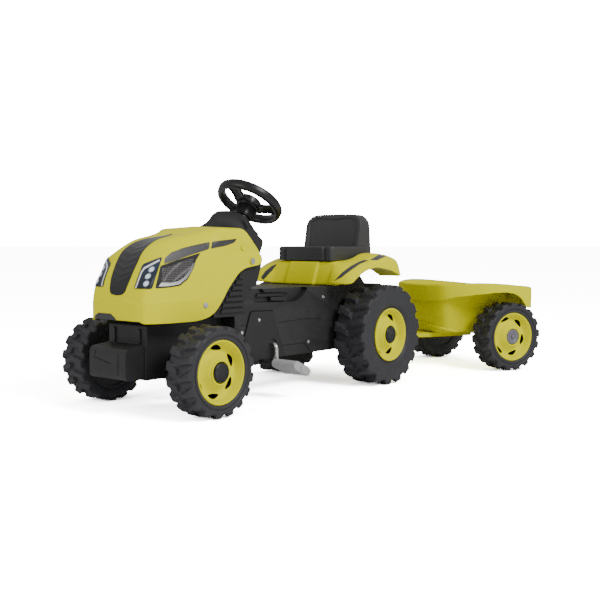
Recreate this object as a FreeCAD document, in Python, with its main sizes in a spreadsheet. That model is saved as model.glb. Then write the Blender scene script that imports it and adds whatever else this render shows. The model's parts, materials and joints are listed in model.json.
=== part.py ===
import FreeCAD, Part
import math
import os
import re
import Sketcher
from FreeCAD import Placement, Rotation, Vector

# A child's pedal tractor with a two-wheeled trailer.
# Frame: +X to the nose, +Y to the driver's left, +Z up. The origin lies on the ground, under the
# middle of the rear axle. Lengths are in millimetres and angles in degrees.

doc = FreeCAD.newDocument("PedalTractor")
sheet = doc.addObject("Spreadsheet::Sheet", "Dimensions")

DIMENSIONS = [
    # wheels and axles
    ("wheelbase", 633), ("front_tyre_radius", 100), ("front_tyre_width", 76),
    ("rear_tyre_radius", 133), ("rear_tyre_width", 97), ("tractor_half_width", 220),
    ("rim_radius", 70), ("rim_seat_radius", 66), ("axle_radius", 6), ("running_gap", 0.05),
    ("hub_radius", 16), ("lug_width_share", 0.2), ("lug_depth_share", 0.07),
    # steering
    ("column_angle", 34), ("wheel_centre_x", 315), ("wheel_centre_z", 482), ("rim_ring_radius", 77),
    ("rim_tube_radius", 9), ("column_length", 437), ("column_throw", 50), ("column_pin_length", 42),
    ("tie_rod_setback", 107), ("kingpin_spread", 112), ("rod_radius", 6),
    # pedal drive
    ("crank_x", 349), ("crank_z", 130), ("crank_throw", 52), ("crank_spread", 118),
    ("chain_pitch", 12.7), ("crank_teeth", 16), ("axle_teeth", 12), ("chain_plane", 40),
    # chassis and covers
    ("chassis_half_width", 105), ("nose_half_width", 65), ("wall", 5), ("skin", 4),
    ("chassis_bottom", 95), ("deck_level", 262), ("bonnet_hinge_x", 436), ("bonnet_hinge_z", 334),
    ("fender_half_width", 180), ("deck_half_width", 108), ("seat_level", 328.5),
    # hitch and trailer
    ("hitch_x", -165), ("tongue_bottom", 92), ("tongue_top", 105), ("trailer_yaw", -21.74),
    ("trailer_axle_back", 390), ("trailer_half_width", 212), ("tub_bottom", 107),
]
for row, (alias, number) in enumerate(DIMENSIONS, start=1):
    sheet.set(f"A{row}", alias)
    sheet.set(f"B{row}", str(number))
    sheet.setAlias(f"B{row}", alias)
doc.recompute()

ALIAS = re.compile(r"\b(" + "|".join(alias for alias, _ in DIMENSIONS) + r")\b")


def value(expression):
    """The number that an expression over the sheet's aliases gives now."""
    return float(sheet.evalExpression(str(expression)))


def bind(item, prop, expression):
    """Tie a property to an expression over the sheet's aliases."""
    item.setExpression(prop, ALIAS.sub(r"Dimensions.\1", str(expression)))


# ---------------------------------------------------------------- sketches
PLANE_TURN = {
    "XY": Rotation(),
    "XZ": Rotation(Vector(1, 0, 0), 90),
    "YZ": Rotation(Vector(1, 1, 1), 120),
}


def fill_outline(sketch, points):
    """Draw a closed outline whose corners are expressions, each held by two bound dimensions."""
    corners = [Vector(value(a), value(b), 0) for a, b in points]
    count = len(corners)
    sketch.addGeometry([Part.LineSegment(corners[i], corners[(i + 1) % count]) for i in range(count)])
    rules = [Sketcher.Constraint("Coincident", i, 2, (i + 1) % count, 1) for i in range(count)]
    for i, corner in enumerate(corners):
        rules.append(Sketcher.Constraint("DistanceX", -1, 1, i, 1, corner.x))
        rules.append(Sketcher.Constraint("DistanceY", -1, 1, i, 1, corner.y))
    sketch.addConstraint(rules)
    for i, (across, up) in enumerate(points):
        bind(sketch, f"Constraints[{count + 2 * i}]", across)
        bind(sketch, f"Constraints[{count + 2 * i + 1}]", up)
    return sketch


def fill_circle(sketch, centre, radius):
    """Draw one circle whose centre and radius are expressions."""
    middle = Vector(value(centre[0]), value(centre[1]), 0)
    sketch.addGeometry([Part.Circle(middle, Vector(0, 0, 1), value(radius))])
    sketch.addConstraint([
        Sketcher.Constraint("Radius", 0, value(radius)),
        Sketcher.Constraint("DistanceX", -1, 1, 0, 3, middle.x),
        Sketcher.Constraint("DistanceY", -1, 1, 0, 3, middle.y),
    ])
    for i, expression in enumerate((radius, centre[0], centre[1])):
        bind(sketch, f"Constraints[{i}]", expression)
    return sketch


def free_sketch(name, plane, level=0):
    """A sketch of the document on a main plane, moved along that plane's normal."""
    sketch = doc.addObject("Sketcher::SketchObject", name + "_outline")
    turn = PLANE_TURN[plane]
    sketch.Placement = Placement(turn.multVec(Vector(0, 0, value(level))), turn)
    return sketch


def body_sketch(body, name, role):
    """A sketch attached to one of its own body's origin planes."""
    plane = [item for item in body.Origin.OriginFeatures if item.Role == role][0]
    sketch = body.newObject("Sketcher::SketchObject", name)
    sketch.AttachmentSupport = (plane, [""])
    sketch.MapMode = "FlatFace"
    return sketch


def mirrored(points):
    """Complete a half outline, listed from bottom to top, with its mirror image about the first axis."""
    return points + [(f"-({across})", up) for across, up in reversed(points)]


# ---------------------------------------------------------------- solids
def prism(name, plane, points, start, end):
    """An outline pushed from one level to another along its plane's own axis (+X, +Y or +Z)."""
    sketch = fill_outline(free_sketch(name, plane), points)
    solid = doc.addObject("Part::Extrusion", name)
    solid.Base = sketch
    solid.DirMode = "Custom"
    solid.Dir = {"XY": Vector(0, 0, 1), "XZ": Vector(0, 1, 0), "YZ": Vector(1, 0, 0)}[plane]
    bind(solid, "LengthFwd", end)
    bind(solid, "LengthRev", f"-({start})")
    solid.Solid = True
    return solid


def slab(name, plane, points, half_width):
    """A prism that reaches equally far to both sides of its plane."""
    return prism(name, plane, points, f"-({half_width})", half_width)


def block(name, low, high):
    """A box between two corners."""
    box = doc.addObject("Part::Box", name)
    for size, axis, start, end in zip(("Length", "Width", "Height"), "xyz", low, high):
        bind(box, size, f"({end}) - ({start})")
        bind(box, f"Placement.Base.{axis}", start)
    return box


def bar(name, radius, base, length, axis="z"):
    """A cylinder from its base along +X, +Y or +Z."""
    rod = doc.addObject("Part::Cylinder", name)
    turn = {"x": Rotation(Vector(0, 1, 0), 90), "y": Rotation(Vector(1, 0, 0), -90), "z": Rotation()}
    rod.Placement = Placement(Vector(), turn[axis])
    bind(rod, "Radius", radius)
    bind(rod, "Height", length)
    for letter, expression in zip("xyz", base):
        bind(rod, f"Placement.Base.{letter}", expression)
    return rod


def on_column(name, radius, start, length):
    """A cylinder about the steering column's axis, measured down from the steering wheel's centre."""
    rod = doc.addObject("Part::Cylinder", name)
    rod.Placement = Placement(Vector(), Rotation(Vector(0, 1, 0), 180 - value("column_angle")))
    bind(rod, "Radius", radius)
    bind(rod, "Height", length)
    bind(rod, "Placement.Base.x", f"wheel_centre_x + ({start}) * sin(column_angle)")
    bind(rod, "Placement.Base.z", f"wheel_centre_z - ({start}) * cos(column_angle)")
    return rod


def fuse(label, *solids):
    joined = doc.addObject("Part::MultiFuse", label)
    joined.Shapes = list(solids)
    joined.Refine = True
    return joined


def cut(label, base, *tools):
    """Take tools away from a base."""
    trimmed = doc.addObject("Part::Cut", label)
    trimmed.Base = base
    trimmed.Tool = tools[0] if len(tools) == 1 else fuse(label + "_tools", *tools)
    return trimmed


def common(label, *solids):
    shared = doc.addObject("Part::MultiCommon", label)
    shared.Shapes = list(solids)
    return shared


def group(label, *solids):
    """Separate solids that share one node."""
    together = doc.addObject("Part::Compound", label)
    together.Links = list(solids)
    return together


def loft(label, sketches):
    solid = doc.addObject("Part::Loft", label)
    solid.Sections = sketches
    solid.Solid = True
    solid.Ruled = True
    return solid


def bent_rod(label, corners, radius, bend):
    """One round rod along straight runs joined by arcs of the bend radius."""
    edges = []
    start = corners[0]
    for before, corner, after in zip(corners, corners[1:], corners[2:]):
        run_in = (corner - before).normalize()
        run_out = (after - corner).normalize()
        turn = run_in.getAngle(run_out)
        reach = bend * math.tan(turn / 2)
        arc_start = corner - run_in * reach
        arc_end = corner + run_out * reach
        inward = (run_out - run_in).normalize()
        centre = corner + inward * (bend / math.cos(turn / 2))
        arc_middle = centre - inward * bend
        edges.append(Part.LineSegment(start, arc_start).toShape())
        edges.append(Part.Arc(arc_start, arc_middle, arc_end).toShape())
        start = arc_end
    edges.append(Part.LineSegment(start, corners[-1]).toShape())
    path = Part.Wire(edges)
    section = Part.Wire(Part.makeCircle(radius, corners[0], corners[1] - corners[0]))
    rod = doc.addObject("Part::Feature", label)
    rod.Shape = path.makePipeShell([section], True, False)
    return rod


def revolve_section(body, label, points):
    """Turn a section of (radius, distance along the axis) points about the body's Y axis."""
    sketch = fill_outline(body_sketch(body, label + "_section", "XY_Plane"), points)
    turned = body.newObject("PartDesign::Revolution", label + "_ring")
    turned.Profile = sketch
    turned.ReferenceAxis = (sketch, ["V_Axis"])
    turned.Angle = 360
    return turned


def repeat_about_y(body, label, feature, count):
    """Repeat a feature round the body's Y axis."""
    axis = [item for item in body.Origin.OriginFeatures if item.Role == "Y_Axis"][0]
    ring = body.newObject("PartDesign::PolarPattern", label)
    ring.Originals = [feature]
    ring.Axis = (axis, [""])
    ring.Angle = 360
    ring.Occurrences = count
    body.Tip = ring
    return ring


def put(item, base, turn=0):
    """Place a sub-part at bound coordinates, turned about +Z."""
    corner = Vector(*(value(part) for part in base))
    item.Placement = Placement(corner, Rotation(Vector(0, 0, 1), value(turn)))
    for letter, expression in zip("xyz", base):
        bind(item, f"Placement.Base.{letter}", expression)
    return item


# ---------------------------------------------------------------- wheels
LUGS_PER_SIDE = 17
RIM_SLOTS = 6


def tyre(label, radius, width):
    """A hollow moulded tyre, open towards its rim, with a row of tread bars on each shoulder."""
    body = doc.addObject("PartDesign::Body", label)
    half = f"{width} / 2"
    tread = f"{radius} - {radius} * lug_depth_share"
    revolve_section(body, label, [
        ("rim_seat_radius", f"-{half} + 8"),
        (f"{radius} - 22", f"-{half}"),
        (f"{tread} - 4", f"-{half} + 8"),
        (tread, f"-{half} + 18"),
        (tread, f"{half} - 18"),
        (f"{tread} - 4", f"{half} - 8"),
        (f"{radius} - 22", half),
        ("rim_radius", f"{half} - 8"),
        ("rim_seat_radius", f"{half} - 8"),
        ("rim_seat_radius", f"{half} - 13"),
        (f"{radius} - 27", f"{half} - 6"),
        (f"{tread} - 7", f"{half} - 18"),
        (f"{tread} - 7", f"-{half} + 18"),
        (f"{radius} - 27", f"-{half} + 6"),
        ("rim_seat_radius", f"-{half} + 13"),
    ])
    # The outer row has a bar at the bottom and the inner row one at the top, so that an odd
    # number of bars sets the rows half a step apart.
    for side, across, up in (("outer", 1, -1), ("inner", -1, 1)):
        foot = f"{up} * ({tread} - 5)"
        shoulder = f"{across} * ({half} - 8)"
        crown = f"{across} * ({half} - 12)"
        sketch = fill_outline(body_sketch(body, f"{label}_{side}_bar", "YZ_Plane"), [
            (f"{across}", foot), (shoulder, foot), (shoulder, f"{up} * ({radius} - 5)"),
            (crown, f"{up} * ({radius})"), (f"{across}", f"{up} * ({radius})"),
        ])
        tread_bar = body.newObject("PartDesign::Pad", f"{label}_{side}_lug")
        tread_bar.Profile = sketch
        bind(tread_bar, "Length", f"{radius} * lug_width_share")
        tread_bar.Midplane = True
        repeat_about_y(body, f"{label}_{side}_lugs", tread_bar, LUGS_PER_SIDE)
    return body


def rim(label, width):
    """A dished disc with a deep barrel, a hub tube and a ring of slots. The outer side is +Y."""
    body = doc.addObject("PartDesign::Body", label)
    half = f"{width} / 2"
    bore = "axle_radius + running_gap"
    revolve_section(body, label, [
        (bore, f"-{half} + 4"), ("hub_radius", f"-{half} + 4"),
        ("hub_radius", f"{half} - 30"), ("rim_seat_radius - 3", f"{half} - 30"),
        ("rim_seat_radius - 3", f"-{half} + 12"), ("rim_seat_radius", f"-{half} + 12"),
        ("rim_seat_radius", f"{half} - 8"), ("rim_radius", f"{half} - 8"),
        ("rim_radius", f"{half} - 4"), ("rim_seat_radius - 2", f"{half} - 4"),
        ("rim_seat_radius - 6", f"{half} - 26"), ("30", f"{half} - 26"),
        ("26", f"{half} - 12"), (bore, f"{half} - 12"),
    ])
    sketch = fill_outline(body_sketch(body, label + "_slot", "XZ_Plane"), [
        ("-18", "49.5"), ("-9", "47.2"), ("9", "47.2"), ("18", "49.5"),
        ("10", "56.6"), ("0", "59.8"), ("-10", "56.6"),
    ])
    slot = body.newObject("PartDesign::Pocket", label + "_slot_cut")
    slot.Profile = sketch
    slot.Type = "ThroughAll"
    slot.Midplane = True
    repeat_about_y(body, label + "_slots", slot, RIM_SLOTS)
    return body


def hub_cap(label, width):
    """A cup that snaps over the axle's end."""
    body = doc.addObject("PartDesign::Body", label)
    half = f"{width} / 2"
    revolve_section(body, label, [
        ("axle_radius + 2", f"{half} - 12"), ("22", f"{half} - 12"), ("22", f"{half} - 5"),
        ("18", f"{half} - 1"), ("0", half), ("0", f"{half} - 4"), ("axle_radius + 2", f"{half} - 4"),
    ])
    return body


def wheel(name, radius, width, base, turn):
    """Tyre, rim and cap of one wheel. Their outer side faces +Y, or -Y after a half turn."""
    put(tyre(name + "_tyre", radius, width), base, turn)
    put(rim(name + "_rim", width), base, turn)
    put(hub_cap(name + "_cap", width), base, turn)


front_offset = "tractor_half_width - front_tyre_width / 2"
rear_offset = "tractor_half_width - rear_tyre_width / 2"
trailer_offset = "trailer_half_width - front_tyre_width / 2"
wheel("left_front", "front_tyre_radius", "front_tyre_width",
      ("wheelbase", front_offset, "front_tyre_radius"), 0)
wheel("right_front", "front_tyre_radius", "front_tyre_width",
      ("wheelbase", f"-({front_offset})", "front_tyre_radius"), 180)
wheel("left_rear", "rear_tyre_radius", "rear_tyre_width",
      ("0", rear_offset, "rear_tyre_radius"), 0)
wheel("right_rear", "rear_tyre_radius", "rear_tyre_width",
      ("0", f"-({rear_offset})", "rear_tyre_radius"), 180)


def behind_hitch(back, side, level):
    """Coordinates of a point of the trailer, given straight behind and beside the hitch pin."""
    return (f"hitch_x - ({back}) * cos(trailer_yaw) - ({side}) * sin(trailer_yaw)",
            f"-({back}) * sin(trailer_yaw) + ({side}) * cos(trailer_yaw)", level)


wheel("left_trailer", "front_tyre_radius", "front_tyre_width",
      behind_hitch("trailer_axle_back", trailer_offset, "front_tyre_radius"), "trailer_yaw")
wheel("right_trailer", "front_tyre_radius", "front_tyre_width",
      behind_hitch("trailer_axle_back", f"-({trailer_offset})", "front_tyre_radius"), "trailer_yaw + 180")

# ---------------------------------------------------------------- chassis
CHASSIS_OUTLINE = [
    ("-60", "chassis_bottom"), ("480", "chassis_bottom"), ("480", "206"), ("548", "206"), ("548", "225"),
    ("472", "310"), ("430", "345"), ("383", "345"), ("387", "321"), ("410", "deck_level + 3"),
    ("-110", "deck_level"), ("-110", "110"),
]
CHASSIS_HOLLOW = [
    ("-105", "chassis_bottom - 15"), ("475", "chassis_bottom - 15"), ("475", "211"), ("543", "211"),
    ("543", "223"), ("470", "305"), ("428", "340"), ("388", "340"), ("392", "322"),
    ("417", "deck_level - 3"), ("-105", "deck_level - 5"),
]


def side_holes(name, radius, x, z):
    return bar(name, radius, (x, "-tractor_half_width", z), "2 * tractor_half_width", "y")


hinge_bosses = group("hinge_boss_pair", *(
    bar(f"hinge_boss_{side}", 12, ("bonnet_hinge_x", start, "bonnet_hinge_z"), "14", "y")
    for side, start in (("left", "99"), ("right", "-113"))))
cut("chassis_shell",
    fuse("chassis_solid",
         cut("chassis_walls",
             slab("chassis_block", "XZ", CHASSIS_OUTLINE, "chassis_half_width"),
             slab("chassis_void", "XZ", CHASSIS_HOLLOW, "chassis_half_width - wall")),
         hinge_bosses),
    on_column("column_tunnel", 12, 60, 300),
    side_holes("rear_axle_holes", 12, 0, "rear_tyre_radius"),
    side_holes("crank_holes", 12, "crank_x", "crank_z"),
    side_holes("hinge_screw_holes", 4, "bonnet_hinge_x", "bonnet_hinge_z"))

cut("nose_frame",
    slab("nose_block", "XZ", [
        ("480", "128"), ("650", "128"), ("658", "76"), ("718", "76"), ("718", "154"), ("712", "154"),
        ("712", "199"), ("480", "206")], "nose_half_width"),
    slab("nose_void", "XZ", [
        ("485", "120"), ("612", "120"), ("612", "134"), ("706", "134"), ("706", "194"), ("485", "200")],
        "nose_half_width - wall"),
    slab("nose_foot_void", "XZ", [("664", "70"), ("712", "70"), ("712", "128"), ("664", "128")],
         "nose_half_width - wall"),
    on_column("nose_tunnel", 12, 300, 150))

cut("front_weight",
    slab("weight_block", "XZ", [
        ("718", "80"), ("764", "80"), ("770", "86"), ("770", "142"), ("764", "149"), ("718", "154")], "62"),
    slab("weight_void", "XZ", [("718", "85"), ("765", "85"), ("765", "144"), ("718", "148")], "57"))

cut("engine_block",
    slab("engine_solid", "XZ", [
        ("548", "206"), ("700", "199.5"), ("700", "280"), ("650", "320"), ("548", "340")], "48"),
    slab("engine_void", "XZ", [
        ("553", "190"), ("695", "190"), ("695", "278"), ("648", "315"), ("553", "334")], "43"))

# The cowl's front lies just inside the circles that the bonnet's notch sweeps about its hinge as it
# opens, so it is turned about that hinge: half-width and radius at each step outwards.
COWL_SWEEP = [
    ("4", "97.5"), ("16", "89.5"), ("30", "83.5"), ("46", "78.5"), ("55", "75.5"), ("66", "73"), ("74", "72")]
SWEEP_START, SWEEP_ANGLE = 46, 70
sweep_turn = Rotation(Vector(0, -1, 0), SWEEP_START)
hinge_point = Vector(value("bonnet_hinge_x"), 0, value("bonnet_hinge_z"))
sweep_sketch = doc.addObject("Sketcher::SketchObject", "cowl_sweep_outline")
sweep_sketch.Placement = Placement(hinge_point, sweep_turn)
fill_outline(sweep_sketch, [("52", "-74")] + [(radius, f"-{out}") for out, radius in reversed(COWL_SWEEP)]
             + [(radius, out) for out, radius in COWL_SWEEP] + [("52", "74")])
cowl_front = doc.addObject("Part::Revolution", "cowl_front")
cowl_front.Source = sweep_sketch
cowl_front.Axis = Vector(0, -1, 0)
cowl_front.Base = hinge_point
cowl_front.Angle = SWEEP_ANGLE
cowl_front.Solid = True
pedestal = slab("pedestal", "XZ", [
    ("383", "345"), ("430", "345"), ("458", "376"), ("458", "400"), ("430", "405"), ("418", "413"),
    ("393", "400"), ("369", "384"), ("367", "377"), ("379", "350")], "95")
HUMP_PLAN = [
    ("74", "396"), ("66", "403"), ("55", "412"), ("46", "420"), ("30", "434"), ("16", "446"), ("4", "457")]
cowl_hump = common("cowl_hump",
    slab("hump_side", "XZ", [
        ("370", "385"), ("458", "385"), ("458", "431"), ("445", "447"), ("409", "456"), ("374", "449"),
        ("362", "420"), ("366", "392")], "74"),
    prism("hump_plan", "XY", [("350", "-74")] + [(x, f"-{out}") for out, x in HUMP_PLAN]
          + [(x, out) for out, x in reversed(HUMP_PLAN)] + [("350", "74")], 300, 500),
    prism("hump_front", "YZ", mirrored([
        ("74", "380"), ("70", "402"), ("62", "425"), ("46", "449"), ("20", "457")]), 300, 600))
cut("dash_cowl", fuse("cowl_solid", pedestal, cowl_front, cowl_hump),
    on_column("cowl_bore", 18.5, 20, 54), on_column("cowl_tunnel", 12, 60, 200))

for side, inner in (("left", "chassis_half_width"), ("right", "-chassis_half_width - 5")):
    cut(f"{side}_crank_cover",
        prism(f"{side}_cover_plate", "XZ", [
            ("300", "chassis_bottom"), ("440", "chassis_bottom"), ("428", "190"), ("415", "213"),
            ("344", "210"), ("322", "180")], inner, f"{inner} + 5"),
        side_holes(f"{side}_cover_hole", 13, "crank_x", "crank_z"))

panels = []
for side, inner in (("left", "chassis_half_width"), ("right", "-chassis_half_width - 3")):
    plate = prism(f"{side}_panel_plate", "XZ", [
        ("446", "212"), ("540", "212"), ("540", "226"), ("474", "300"), ("446", "320")],
        inner, f"{inner} + 3")
    slots = [
        block(f"{side}_panel_slot_{i}", ("454", f"{inner} - 1", f"{222 + 15 * i}"),
              (f"{528 - 13 * i}", f"{inner} + 4", f"{227 + 15 * i}"))
        for i in range(5)]
    panels.append(cut(f"{side}_engine_panel", plate, *slots))
group("engine_side_panels", *panels)

SCREW_SPOTS = [("455", "165"), ("270", "240"), ("150", "240"), ("210", "120")]
group("chassis_screws", *(
    bar(f"chassis_screw_{side}_{i}", 5, (x, start, z), "2.5", "y")
    for side, start in (("left", "chassis_half_width"), ("right", "-chassis_half_width - 2.5"))
    for i, (x, z) in enumerate(SCREW_SPOTS)))

# ---------------------------------------------------------------- deck and seat
FENDER_TOP = [("-103", "288"), ("-53", "349"), ("-5", "348"), ("51", "329"), ("103", "326"), ("128", "267")]
fender_outline = FENDER_TOP + [("108", "264"), ("70", "300"), ("13", "313"), ("-45", "306"), ("-95", "282")]
fender_void = [
    ("-104", "270"), ("-97", "288"), ("-51", "345"), ("-6", "344"), ("50", "325"), ("99", "322"),
    ("122", "268"), ("122", "250"), ("-104", "250")]
fenders = []
for side, sign in (("left", "1"), ("right", "-1")):
    near, far = f"{sign} * (deck_half_width - 4)", f"{sign} * fender_half_width"
    start, end = (near, far) if sign == "1" else (far, near)
    skin_start, skin_end = f"({start}) + skin", f"({end}) - skin"
    fenders.append(cut(f"{side}_fender",
        prism(f"{side}_fender_solid", "XZ", fender_outline, start, end),
        prism(f"{side}_fender_void", "XZ", fender_void, skin_start, skin_end)))
deck = cut("deck_box",
    slab("deck_solid", "XZ", [
        ("-112", "deck_level"), ("122", "deck_level + 3"), ("103", "326"), ("60", "seat_level - 0.5"),
        ("-112", "seat_level - 0.5")], "deck_half_width"),
    slab("deck_void", "XZ", [
        ("-107", "deck_level - 5"), ("117", "deck_level - 5"), ("117", "deck_level + 3"), ("99", "321.5"),
        ("60", "seat_level - 4.5"), ("-107", "seat_level - 4.5")], "deck_half_width - skin"))
fuse("fender_deck", deck, *fenders)

seat_pan = common("seat_pan",
    slab("pan_side", "XZ", [
        ("103", "seat_level"), ("103", "362"), ("98", "367"), ("-20", "364"), ("-72", "364"),
        ("-76", "seat_level")], "112"),
    prism("pan_plan", "XY", [
        ("103", "-80"), ("92", "-91"), ("20", "-94"), ("-10", "-101"), ("-50", "-101"), ("-76", "-88"),
        ("-76", "88"), ("-50", "101"), ("-10", "101"), ("20", "94"), ("92", "91"), ("103", "80")], 300, 400))
seat_back = common("seat_back",
    slab("back_side", "XZ", [
        ("-10", "340"), ("-16", "368"), ("-31", "448"), ("-36", "456"), ("-58", "456"), ("-64", "446"),
        ("-74", "340")], "92"),
    prism("back_front", "YZ", mirrored([
        ("92", "335"), ("90", "400"), ("84", "435"), ("72", "450"), ("50", "456")]), -100, 50))
cut("seat_shell", fuse("seat_solid", seat_pan, seat_back),
    slab("pan_void", "XZ", [
        ("98", "seat_level - 5"), ("98", "361"), ("-20", "359"), ("-40", "420"), ("-56", "420"),
        ("-70", "seat_level - 5")], "86"))

# ---------------------------------------------------------------- bonnet
# One row per cross-section: x, height on the centreline, half-width and height of the shoulder,
# half-width and height of the upper side, half-width of the skirt.
BONNET_ROWS = [
    (742, 262, 40, 261, 80, 256, 86), (730, 298, 50, 296, 89, 284, 97), (712, 332, 52, 333, 91, 312, 106),
    (691, 360, 48, 362, 93, 344, 112), (650, 382, 59, 384, 96, 358, 117), (590, 394, 71, 396, 100, 368, 120),
    (525, 411, 95, 406, 107, 380, 121), (475, 416, 112, 411, 117, 390, 121),
    (405, 416, 114, 411, 119, 390, 121),
]
SKIRT_HEIGHT = 250
SKIRT_BOTTOM = 204


def bonnet_section(name, row, inset, forward):
    """One cross-section of the bonnet's outer or inner form."""
    x, top, shoulder, shoulder_top, side, side_top, skirt = row
    bottom = SKIRT_BOTTOM - 4 * inset
    half = [
        (skirt - inset, bottom), (skirt - inset, SKIRT_HEIGHT), (side - inset, side_top - inset),
        (shoulder - inset, shoulder_top - inset), (2, top - inset)]
    sketch = free_sketch(name, "YZ", x - forward)
    return fill_outline(sketch, mirrored([(str(a), str(b)) for a, b in half]))


skin = value("skin")
bonnet_form = loft("bonnet_form", [
    bonnet_section(f"bonnet_outer_{i}", row, 0, 0) for i, row in enumerate(BONNET_ROWS)])
bonnet_hollow = loft("bonnet_hollow", [
    bonnet_section(f"bonnet_inner_{i}", row, skin, skin if row[0] > 600 else 2 * i - 8)
    for i, row in enumerate(BONNET_ROWS)])
bonnet_arch = slab("bonnet_arch", "XZ", [
    ("360", "150"), ("577", "150"), ("577", "211"), ("552", "225"), ("514", "272"), ("480", "307"),
    ("454", "319"), ("408", "324"), ("400", "330"), ("401", "342"), ("407", "353"), ("417", "365"),
    ("431", "378"), ("443", "391"), ("454", "403"), ("464", "412"), ("476", "440"), ("360", "440")], "150")
bonnet_notch = prism("bonnet_notch", "XY", [
    ("500", "-4"), ("500", "4"), ("428", "78"), ("360", "78"), ("360", "-78"), ("428", "-78")], 380, 450)
cut("bonnet_shell", bonnet_form, bonnet_hollow, bonnet_arch, bonnet_notch,
    side_holes("bonnet_hinge_holes", "4 + running_gap", "bonnet_hinge_x", "bonnet_hinge_z"))


def bonnet_skin_patch(label, window, shift):
    """A thin piece that lies on the bonnet inside a window, as thick as the shift."""
    raised = doc.addObject("Part::Feature", label + "_raised")
    raised.Shape = bonnet_form.Shape.translated(shift)
    return cut(label, common(label + "_window", raised, window), bonnet_form)


doc.recompute()
bonnet_skin_patch("grille_panel",
    prism("grille_window", "YZ", mirrored([
        ("22", "268"), ("35", "312"), ("36", "345"), ("30", "368"), ("3", "391")]), 560, 800),
    Vector(0.8, 0, 0.8))
group("headlight_lenses", *(
    bonnet_skin_patch(f"headlight_{side}",
        prism(f"headlight_window_{side}", "YZ", [
            (f"{sign} * 54", "279"), (f"{sign} * 96", "279"), (f"{sign} * 94", "343"),
            (f"{sign} * 52", "330")], 670, 800),
        Vector(0.8, sign * 0.6, 0.3))
    for side, sign in (("left", 1), ("right", -1))))
group("side_vents", *(
    bonnet_skin_patch(f"side_vent_{side}",
        prism(f"side_vent_window_{side}", "XZ", [
            ("712", "280"), ("690", "331"), ("592", "354"), ("612", "316"), ("646", "282")],
            "60" if sign > 0 else "-140", "140" if sign > 0 else "-60"),
        Vector(0, sign * 1.0, 0))
    for side, sign in (("left", 1), ("right", -1))))

hinge_screws = []
for side, sign in (("left", 1), ("right", -1)):
    hinge_screws.append(fuse(f"hinge_screw_{side}",
        bar(f"hinge_shank_{side}", 4,
            ("bonnet_hinge_x", 95 if sign > 0 else -121.5, "bonnet_hinge_z"), 26.5, "y"),
        bar(f"hinge_head_{side}", 7,
            ("bonnet_hinge_x", 121.5 if sign > 0 else -124, "bonnet_hinge_z"), 2.5, "y")))
group("bonnet_hinge_screws", *hinge_screws)

# ---------------------------------------------------------------- steering
steering_turn = Rotation(Vector(0, 1, 0), -value("column_angle"))
wheel_body = doc.addObject("PartDesign::Body", "steering_wheel_ring")
ring_sketch = fill_circle(body_sketch(wheel_body, "ring_section", "XZ_Plane"),
                          ("rim_ring_radius", "0"), "rim_tube_radius")
ring = wheel_body.newObject("PartDesign::Revolution", "ring_turn")
ring.Profile = ring_sketch
ring.ReferenceAxis = (ring_sketch, ["V_Axis"])
ring.Angle = 360
hub = fuse("hub_stack",
    bar("hub_top", 30, (0, 0, -22), 26),
    bar("hub_boss", 24, (0, 0, -38), 18),
    bar("hub_neck", 17, (0, 0, -72), 36))
spokes = []
for i, angle in enumerate((0, 120, 240)):
    spoke = doc.addObject("Part::Box", f"spoke_{i}")
    spoke.Length, spoke.Width, spoke.Height = 52, 24, 8
    spoke.Placement = Placement(Vector(), Rotation(Vector(0, 0, 1), angle)) * Placement(
        Vector(24, -12, -12), Rotation(Vector(0, 1, 0), -8))
    spokes.append(spoke)
steering_wheel = cut("steering_wheel", fuse("steering_wheel_solid", wheel_body, hub, *spokes),
    bar("horn_pocket", 15.4, (0, 0, -6), 20), bar("wheel_bore", "rod_radius", (0, 0, -80), 74))
steering_wheel.Placement = Placement(
    Vector(value("wheel_centre_x"), 0, value("wheel_centre_z")), steering_turn)
horn = fuse("horn_button", bar("horn_disc", 15, (0, 0, -2), 8), bar("horn_crown", 11, (0, 0, 6), 2))
horn.Placement = steering_wheel.Placement

slope = math.radians(value("column_angle"))
down = Vector(math.sin(slope), 0, -math.cos(slope))
back = Vector(-math.cos(slope), 0, -math.sin(slope))
wheel_centre = Vector(value("wheel_centre_x"), 0, value("wheel_centre_z"))
column_end = wheel_centre + down * value("column_length")
crank_tip = column_end + back * value("column_throw")
bent_rod("steering_column",
    [wheel_centre + down * 8, column_end, crank_tip, crank_tip + down * value("column_pin_length")],
    value("rod_radius"), 10)
group("column_bushes", *(
    cut(f"column_bush_{name}", on_column(f"bush_{name}_solid", 12, start, length),
        on_column(f"bush_{name}_bore", "rod_radius + running_gap", start - 1, length + 2))
    for name, start, length in (("upper", 80, 20), ("lower", 325, 24))))

beam_holes = [bar(f"kingpin_hole_{i}", "rod_radius + running_gap", ("wheelbase", y, 60), 80)
              for i, y in enumerate(("kingpin_spread", "-kingpin_spread"))]
cut("front_axle_beam",
    fuse("beam_solid",
        block("beam_web", ("wheelbase - 14", "-90", "72"), ("wheelbase + 14", "90", "128")),
        block("beam_upper_ear", ("wheelbase - 14", "-126", "117"), ("wheelbase + 14", "126", "128")),
        block("beam_lower_ear", ("wheelbase - 14", "-126", "72"), ("wheelbase + 14", "126", "82"))),
    *beam_holes)

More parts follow.
